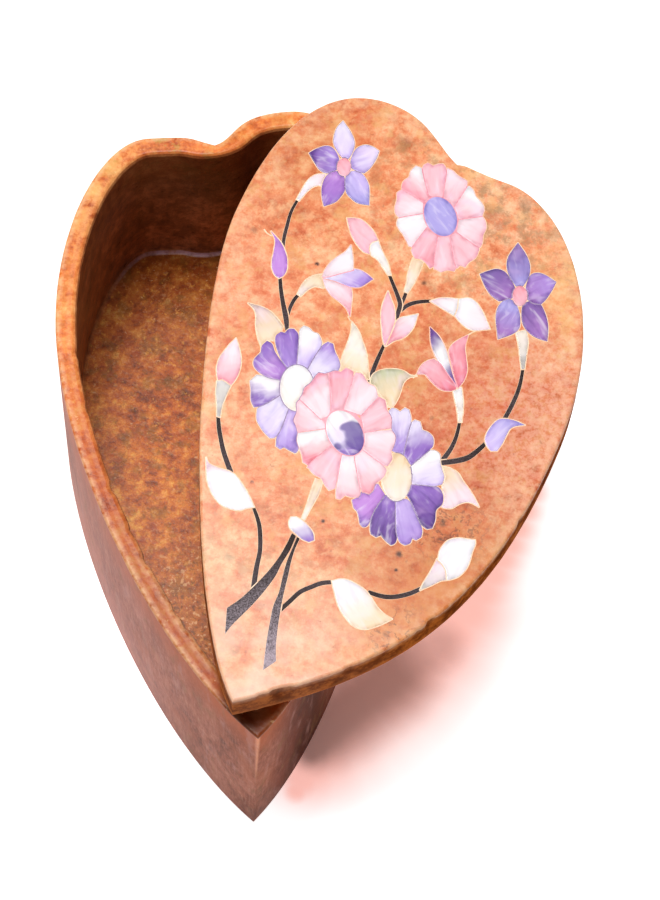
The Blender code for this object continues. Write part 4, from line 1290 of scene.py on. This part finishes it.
def wall_finish():
    """Sawn outer walls: mauve-brown and mottled, warm under the rim, with painted shade, a painted
    reflection of the paper and a tip of wear and painted highlight.
    """
    f = Finish("sawn_mauve_stone", IOR=1.5, Specular_IOR_Level=0.02)
    mottle, grain = stone_grain(f)
    upright = f.millimetres((1.0, 1.0, 0.35))
    saw = f.noise(upright, 1.1, 6.0, 0.7, 0.3)
    bands = f.noise(upright, 6.0, 4.0, 0.6, 0.5)
    tone = saw * 0.25 + bands * 0.35 + mottle * 0.4 + grain * 0.15 - 0.075
    fine = f.noise(f.millimetres((1.0, 1.0, 0.16), 0.4), 0.42, 3.0, 0.6)
    warm = f.noise(f.millimetres(), 13.0, 3.0, 0.5, 0.6).step(0.45, 0.65)
    height = f.height()
    under_rim = height.step(BOX_HEIGHT - 14.0, BOX_HEIGHT + 1.0)
    foot = 1.0 - height.step(0.0, 20.0)
    paper_reflection = f.zone("paper_reflection_wall")
    # Pale line down the tip edge: partly wear, partly painted highlight
    tip_wear_and_highlight = f.near(BOX_OUTLINE[0] + ORIGIN, TIP_WEAR_AND_HIGHLIGHT) * saw.step(0.25, 0.5)
    chalk = f.patches(3.0, 4.0, 0.6, 0.54, 0.7, turn=0.9, stretch=(1.0, 1.0, 0.3))
    olive = f.patches(2.6, 4.0, 0.6, 0.54, 0.7, turn=1.9, stretch=(1.0, 1.0, 0.4))
    colour = f.coats(
        f.ramp(tone, (0.4, 108, 54, 34), (0.48, 146, 84, 62), (0.56, 172, 108, 86),
               (0.68, 202, 140, 120), light=0.8),
        (fine.step(0.52, 0.66) * 0.25, lin(202, 148, 126, 0.8)),
        ((1.0 - fine).step(0.52, 0.66) * 0.22, lin(98, 56, 40, 0.8)),
        (warm * 0.45, lin(178, 100, 62, 0.85)),
        (under_rim * (saw * 0.8 + 0.4).clipped(), lin(192, 98, 48, 0.85)),
        # Darker towards the foot: painted shade; pink haze low on the left: painted reflection of the
        # paper
        (foot * (1.0 - paper_reflection) * 0.35, lin(116, 66, 50, 0.9)),
        (paper_reflection * (foot * 0.3 + 0.25), lin(208, 152, 144, 0.8)),
        (f.zone("shaded_wall") * 0.85, lin(66, 34, 24, 0.9)),
        (f.zone("ruddy_wall") * bands.step(0.36, 0.56) * 0.35, lin(128, 60, 44, 0.9)),
        (tip_wear_and_highlight * 0.8, lin(248, 176, 136, 0.8)),
        (chalk * 0.35, lin(198, 150, 140, 0.85)),
        (olive * 0.35, lin(138, 104, 66, 0.85)))
    f.set(Base_Color=colour, Roughness=mottle * 0.2 + 0.35,
          Normal=f.bump(grain * 0.5 + saw * 0.6, 0.22, 0.0003))
    return f.material


def box_finish():
    """Honed orange-brown stone of the rim, the dark hollow and its rusty floor, with painted shade and
    highlights.
    """
    f = Finish("honed_orange_stone", IOR=1.5, Specular_IOR_Level=0.12)
    mottle, grain = stone_grain(f)
    place = f.millimetres()
    tone = f.noise(place, 12.0, 2.0, 0.5) * 0.3 + mottle * 0.72 + grain * 0.22 - 0.12
    saw = f.noise(f.millimetres((1.0, 1.0, 0.12)), 0.9, 6.0, 0.7, 0.3)
    moss = f.patches(3.4, 4.0, 0.7, 0.48, 0.62, turn=1.1)
    tip = f.zone("shaded_rim_tip")
    rim = f.coats(
        f.ramp(tone, (0.34, 176, 76, 24), (0.43, 216, 102, 36), (0.5, 238, 126, 52),
               (0.58, 248, 154, 76), (0.7, 252, 192, 116)),
        (f.zone("sunny_rim") * mottle.step(0.34, 0.56) * 0.4, lin(254, 198, 122)),
        (moss * (f.zone("mossy_cleft") * 0.6 + 0.2), lin(196, 150, 66)),
        (f.zone("dark_rim") * 0.95, (0.56, 0.42, 0.34), "MULTIPLY"),
        (f.zone("left_rim") * 0.7, (0.8, 0.66, 0.56), "MULTIPLY"),
        # Painted shade of the lid on the rim's tip, and a painted shadow just under the lid
        (tip * 0.9, lin(170, 78, 30)),
        (f.zone("shadow_under_lid") * 0.85, lin(70, 26, 8)))
    front = f.zone("pale_floor")
    pits = f.noise(place, 0.7, 3.0, 0.6)
    rust = f.coats(
        f.ramp(tone, (0.33, 92, 34, 6), (0.42, 142, 60, 12), (0.5, 180, 86, 22),
               (0.58, 208, 116, 40), (0.7, 238, 172, 84), light=0.75),
        (f.patches(4.0, 5.0, 0.7, 0.5, 0.62, turn=0.7) * 0.5, lin(128, 86, 20, 0.8)),
        (f.patches(3.0, 4.0, 0.7, 0.54, 0.64, turn=2.3) * 0.45, lin(170, 64, 20, 0.8)),
        # Painted shade: the floor darker by the back wall
        (f.zone("shaded_back_floor") * 0.45, lin(84, 36, 10, 0.7)),
        (front * 0.4, lin(164, 94, 46, 0.75)),
        (pits.step(0.54, 0.64) * (front * 0.4 + 0.2), lin(74, 42, 18, 0.75)),
        ((1.0 - pits).step(0.56, 0.66) * (front * 0.5 + 0.15), lin(232, 176, 124, 0.75)),
        (f.patches(1.1, 4.0, 0.7, 0.56, 0.68, turn=1.7) * 0.45, lin(224, 150, 62, 0.75)))
    # Painted shade high on the back inner wall
    gloom = f.zone("gloomy_wall") * f.height().step(16.0, 36.0)
    deep = f.coats(
        f.ramp(tone + saw * 0.2 - 0.1, (0.34, 84, 50, 32), (0.5, 120, 76, 50),
               (0.68, 164, 112, 78), light=0.32),
        (gloom * 0.6, lin(58, 34, 20, 0.4)))
    inside = f.attribute("inside")
    floor = f.attribute("floor")
    # Pale edges: partly wear of the stone, partly painted highlight, kept inside only at the lower
    # left; the same marks feed the painted glint in the cove
    wear_and_highlight_patches = f.patches(1.2, 4.0, 0.6, 0.3, 0.62)
    unmarked_inside = inside.step(0.0, 0.1) * (1.0 - f.zone("rim_wear_and_highlight"))
    wear = f.attribute("wear") * wear_and_highlight_patches * (1.0 - unmarked_inside) * (1.0 - tip * 0.9)
    glint = f.zone("floor_glint") * (floor.step(0.02, 0.3) * f.attribute("wear"))
    colour = f.coats(
        f.mix(inside, rim, f.mix(floor, deep, rust)),
        (wear * 0.5, lin(252, 206, 160)),
        (glint * (wear_and_highlight_patches * 0.6 + 0.4), lin(206, 170, 196, 0.6)),
        (f.patches(0.8, 3.0, 0.5, 0.68, 0.76) * 0.35, lin(248, 204, 150, 0.8)))
    f.set(Base_Color=colour, Roughness=mottle * 0.16 + grain * 0.1 + 0.18,
          Normal=f.bump(grain * 0.5 + mottle * 0.4 + saw * 0.3, 0.22, 0.0003))
    return f.material


def run_of_tones(f, blend, first, second):
    """A slip's three tones along its run, with the shares where each turns into the next."""
    near, middle, far = (f.attribute(name + "_tone", output=0) for name in ("near", "middle", "far"))
    return f.mix(blend.step(*second), f.mix(blend.step(*first), near, middle), far)


def shell_finish():
    """Polished dyed shell: two tones along a slip, soft sheen streaks and deeper rims."""
    f = Finish("dyed_shell", IOR=1.5, Specular_IOR_Level=0.14)
    grain = f.attribute("grain", output=1)
    cloud = f.noise(f.scaled(grain, (0.7, 0.8, 1.0)), 2.8, 2.0, 0.5, 0.6)
    blend = f.attribute("blend") + (cloud - 0.5) * 0.7
    base = run_of_tones(f, blend, (0.05, 0.5), (0.5, 0.95))
    lines = f.noise(f.scaled(grain, (0.22, 1.0, 1.0)), 1.1, 3.0, 0.5, 0.5)
    strength = f.attribute("streak")
    lit = f.mix(lines.step(0.52, 0.74) * strength * 0.6, base, lin(255, 244, 252))
    streaked = f.mix((1.0 - lines).step(0.5, 0.74) * strength * 0.45, lit, lit, "MULTIPLY")
    pearly = f.noise(f.scaled(grain, (0.6, 1.0, 1.0)), 2.0, 2.0, 0.5, 1.0).step(0.56, 0.72)
    flush = f.noise(grain, 3.4, 2.0, 0.5, 0.4)
    patch = f.zone("plum_patch") * 0.8 + (f.noise(grain, 2.6, 1.0, 0.4) - 0.5) * 2.0
    colour = f.coats(
        streaked,
        (pearly * (strength - 0.4).clipped(), lin(250, 238, 254)),
        (flush.step(0.5, 0.72) * 0.2, lin(248, 206, 248)),
        ((1.0 - flush).step(0.52, 0.72) * 0.08, lin(222, 222, 255)),
        (patch.step(0.4, 0.7) * f.attribute("shade") * 0.85, lin(104, 80, 156)))
    rim = (1.0 - f.attribute("edge").step(0.0, 0.7)) * f.noise(grain, 1.8, 2.0).step(0.25, 0.7)
    f.set(Base_Color=f.mix(rim * 0.6, colour, colour, "MULTIPLY"),
          Roughness=lines * 0.12 + 0.16, Normal=f.bump(lines * 0.6 + cloud * 0.4, 0.05, 0.0001))
    return f.material


def stem_finish():
    """Dark slate-brown stone with pale flecks, lighter towards its end, partly dust and partly painted
    glare.
    """
    f = Finish("polished_dark_stone", IOR=1.5, Specular_IOR_Level=0.04)
    grain = f.attribute("grain", output=1)
    mottle = f.noise(grain, 0.9, 5.0, 0.65)
    flecks = f.noise(f.scaled(grain, (0.8, 1.0, 1.0)), 0.22, 4.0, 0.7)
    blend = f.attribute("blend") + (mottle - 0.5) * 0.5
    # Lighter towards the end of the trunks: partly dust, partly painted glare
    dust_and_glare = (blend * 0.9 + 0.35).clipped() * (f.attribute("streak") * 1.3 - 0.55).clipped()
    colour = f.coats(
        run_of_tones(f, blend, (0.1, 0.6), (0.45, 1.1)),
        (flecks.step(0.34, 0.68) * dust_and_glare, lin(206, 188, 198)),
        ((1.0 - mottle).step(0.5, 0.7) * 0.5, lin(40, 30, 30)))
    f.set(Base_Color=colour, Roughness=mottle * 0.2 + 0.22, Normal=f.bump(flecks, 0.1, 0.0001))
    return f.material


def glue_finish(name, light, dark, size):
    """Hard glue round the slips, a little uneven in tone."""
    f = Finish(name, IOR=1.48)
    place = f.millimetres()
    patches = f.noise(place, size, 5.0, 0.65, 0.5)
    f.set(Base_Color=f.ramp(patches, (0.34, *dark), (0.6, *light)), Roughness=patches * 0.3 + 0.25,
          Normal=f.bump(f.noise(place, 0.3, 3.0), 0.15, 0.0001))
    return f.material


# Flowers whose slips have a violet or a rose line of glue round them
VIOLET_LINE = ("star_left_petals", "star_right_petals", "rose_left_petals", "rose_low_petals",
               "rose_left_eye")
ROSE_LINE = ("rose_top_petals", "rose_middle_petals", "tulip_left_petals", "tulip_right_petals",
             "rose_top_eye", "rose_middle_eye")

# Thin curls of gilt glue, from their readings in the picture
CURLS = [((264, 229, 1.6), (267, 233, 1.4), (272, 236, 1.0)),
         ((348, 316, 1.6), (350, 320, 1.3), (353, 322, 1.0)),
         ((413, 378, 1.6), (418, 372, 1.4), (424, 362, 1.0)),
         ((468, 335, 1.6), (473, 332, 1.4), (478, 330, 1.0))]


def build_inlay(nodes, finishes):
    cut = []
    for name, group in nodes.items():
        parts = []
        for slip in group:
            parts.append(slip_data(slip, *cut_slip(slip, cut)))
            cut.append(slip)
        piece = inlay_object(name + "_slips", parts)
        colour = SLOTS[name]
        piece.data.materials.append(finishes["stem" if colour == "stem" else "shell"])
        present(piece, colour, name)


def present(piece, slot, *nodes):
    """Attaches a piece to the root body and hides the nodes that it replaces; the slot is not used."""
    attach(piece, "root")
    if nodes:
        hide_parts(*nodes)


def eye_camera():
    """The camera that sees the box as the picture does."""
    eye = lid_place(turned_back(*SIGHT_EYE[:2]))
    s, c = math.sin(SIGHT_RISE), math.cos(SIGHT_RISE)
    sr, cr = math.sin(SIGHT_ROLL), math.cos(SIGHT_ROLL)
    side, up = np.array([1.0, 0.0, 0.0]), np.array([0.0, s, c])
    axes = [cr * side - sr * up, sr * side + cr * up, -np.array([0.0, c, -s])]
    zero = lid_place((0.0, 0.0))
    turned = [np.append(lid_place(turned_back(*axis[:2])) - zero, axis[2]) for axis in axes]
    lens = bpy.data.cameras.new("eye")
    lens.sensor_width = SENSOR
    lens.lens = PICTURE_SCALE / PICTURE_LONG_SIDE * SENSOR
    lens.clip_start = 0.01
    where = Vector((*(eye * MM), (LID_TOP + SIGHT_EYE[2]) * MM))
    camera = linked("eye", lens)
    camera.matrix_world = Matrix.Translation(where) @ Matrix(turned).transposed().to_4x4()
    bpy.context.scene.camera = camera


# Shade on the paper along the box: across, down and reach in millimetres
DARK_SHADE = [(312, 752, 4.5), (317, 746, 6), (322, 738, 7.5), (328, 730, 9), (335, 721, 10),
              (344, 712, 11), (356, 702, 11), (370, 692, 11), (384, 682, 11), (398, 672, 10),
              (410, 663, 8), (424, 655, 7), (440, 646, 6)]
PINK_SHADE = [(297, 790, 4), (303, 778, 7), (310, 764, 11), (320, 748, 14), (332, 728, 16),
              (350, 706, 17), (370, 690, 17), (390, 676, 17), (410, 662, 16), (430, 646, 15),
              (448, 628, 13), (464, 610, 12), (478, 592, 9), (490, 574, 7), (500, 558, 6),
              (508, 544, 5.5), (516, 528, 5), (524, 510, 4.5), (531, 492, 4)]

# Paper in millimetres; the lamp in metres and watts
PAPER_HALF = 900.0
PAPER_THICKNESS = 4.0
LAMP_PLACE = (-0.10, 0.16, 0.74)
LAMP_AIM = (0.0, 0.0, 0.02)
LAMP_SIZE = 0.32
LAMP_POWER = 7.8
STUDIO_COLOUR = (1.0, 0.80, 0.75, 1.0)
STUDIO_STRENGTH = 0.38


def paper_finish():
    """Matt pale paper with a soft glow, pink and then dark towards the box."""
    f = Finish("pale_paper", Roughness=0.9, Emission_Strength=1.0)
    tone = f.noise(f.millimetres(), 60.0, 2.0, 0.5)
    lit = (f.zone("lit_paper") * 1.5).clipped()
    glow = f.mix(lit, (0.06, 0.04, 0.03), (0.78, 0.84, 0.86))
    fade = f.zone("fading_shade") * 0.5
    for zones, colour, keep in ((PINK_SHADE, (0.70, 0.35, 0.31), 1.0),
                                (DARK_SHADE, (0.04, 0.0, 0.0), 1.0 - fade)):
        shades = [f.near(on_level(x, y, 0.0), reach) for x, y, reach in zones]
        shade = reduce(lambda one, two: f.math("MAXIMUM", one, two), shades)
        glow = f.mix(shade * keep, glow, colour)
    f.set(Base_Color=f.mix(tone, (0.96, 0.85, 0.83), (0.98, 0.88, 0.86)), Emission_Color=glow)
    return f.material


def stage():
    """Paper, studio light and the lamp behind the box."""
    sheet = PAPER_HALF * np.array([(-1.0, -1.0), (1.0, -1.0), (1.0, 1.0), (-1.0, 1.0)])
    floor = as_object("pale_floor", loft([(sheet, -PAPER_THICKNESS), (sheet, 0.0)]))
    floor.data.materials.append(paper_finish())
    world = bpy.data.worlds.new("studio")
    world.use_nodes = True
    background = world.node_tree.nodes["Background"]
    background.inputs["Color"].default_value = STUDIO_COLOUR
    background.inputs["Strength"].default_value = STUDIO_STRENGTH
    bpy.context.scene.world = world
    light = bpy.data.lights.new("window", "AREA")
    light.shape = "RECTANGLE"
    light.size = light.size_y = LAMP_SIZE
    light.energy = LAMP_POWER
    lamp = linked("window", light)
    lamp.location = LAMP_PLACE
    way = Vector(LAMP_AIM) - Vector(LAMP_PLACE)
    lamp.rotation_euler = way.to_track_quat("-Z", "Y").to_euler()


def line_width(name):
    """How far the bed of glue reaches beyond a node's slips."""
    if name in VIOLET_LINE + ROSE_LINE and name.endswith("eye"):
        return EYE_LINE
    return STEM_LINE if SLOTS[name] == "stem" else GLUE_LINE


def build():
    finishes = {"shell": shell_finish(), "stem": stem_finish()}
    nodes = inlay()
    build_inlay(nodes, finishes)
    beds = [grow(slip.outline, line_width(name)) for name, group in nodes.items() for slip in group]
    beds += [drawn(strip(*stations)) for stations in CURLS]
    lid = stone_lid(beds)
    lid.data.materials.append(lid_finish("polished_peach_marble", 0.16))
    lid.data.materials.append(lid_finish("sawn_peach_marble", 0.0))
    present(lid, "stone_lid", "lid")
    glue = as_object("gilt_glue", joined_prisms(beds, POCKET_LOW, LID_TOP - GLUE_SUNK))
    glue.data.materials.append(glue_finish("gilt_glue", (255, 222, 184), (238, 180, 132), 1.2))
    present(glue, "cream")
    for name, members, slot, sunk, light, dark in (
            ("violet_line", VIOLET_LINE, "violet", 0.6, (160, 132, 170), (104, 80, 128)),
            ("rose_line", ROSE_LINE, "pink", 0.4, (244, 160, 174), (222, 122, 140))):
        outlines = [grow(slip.outline, EYE_LINE if member.endswith("eye") else DARK_LINE)
                    for member in members for slip in nodes[member]]
        line = as_object(name, joined_prisms(outlines, LID_TOP - LINE_DEPTH,
                                             LID_TOP - sunk * GLUE_SUNK))
        line.data.materials.append(glue_finish(name, light, dark, 0.8))
        present(line, slot)
    body = stone_box()
    body.data.materials.append(box_finish())
    body.data.materials.append(wall_finish())
    present(body, "stone_body", "box_body")


SLOTS = {part["node"]: part["material_slot"] for part in frame["record"]["subparts"]}
bpy.context.scene.view_settings.view_transform = "Standard"
build()
stage()
eye_camera()
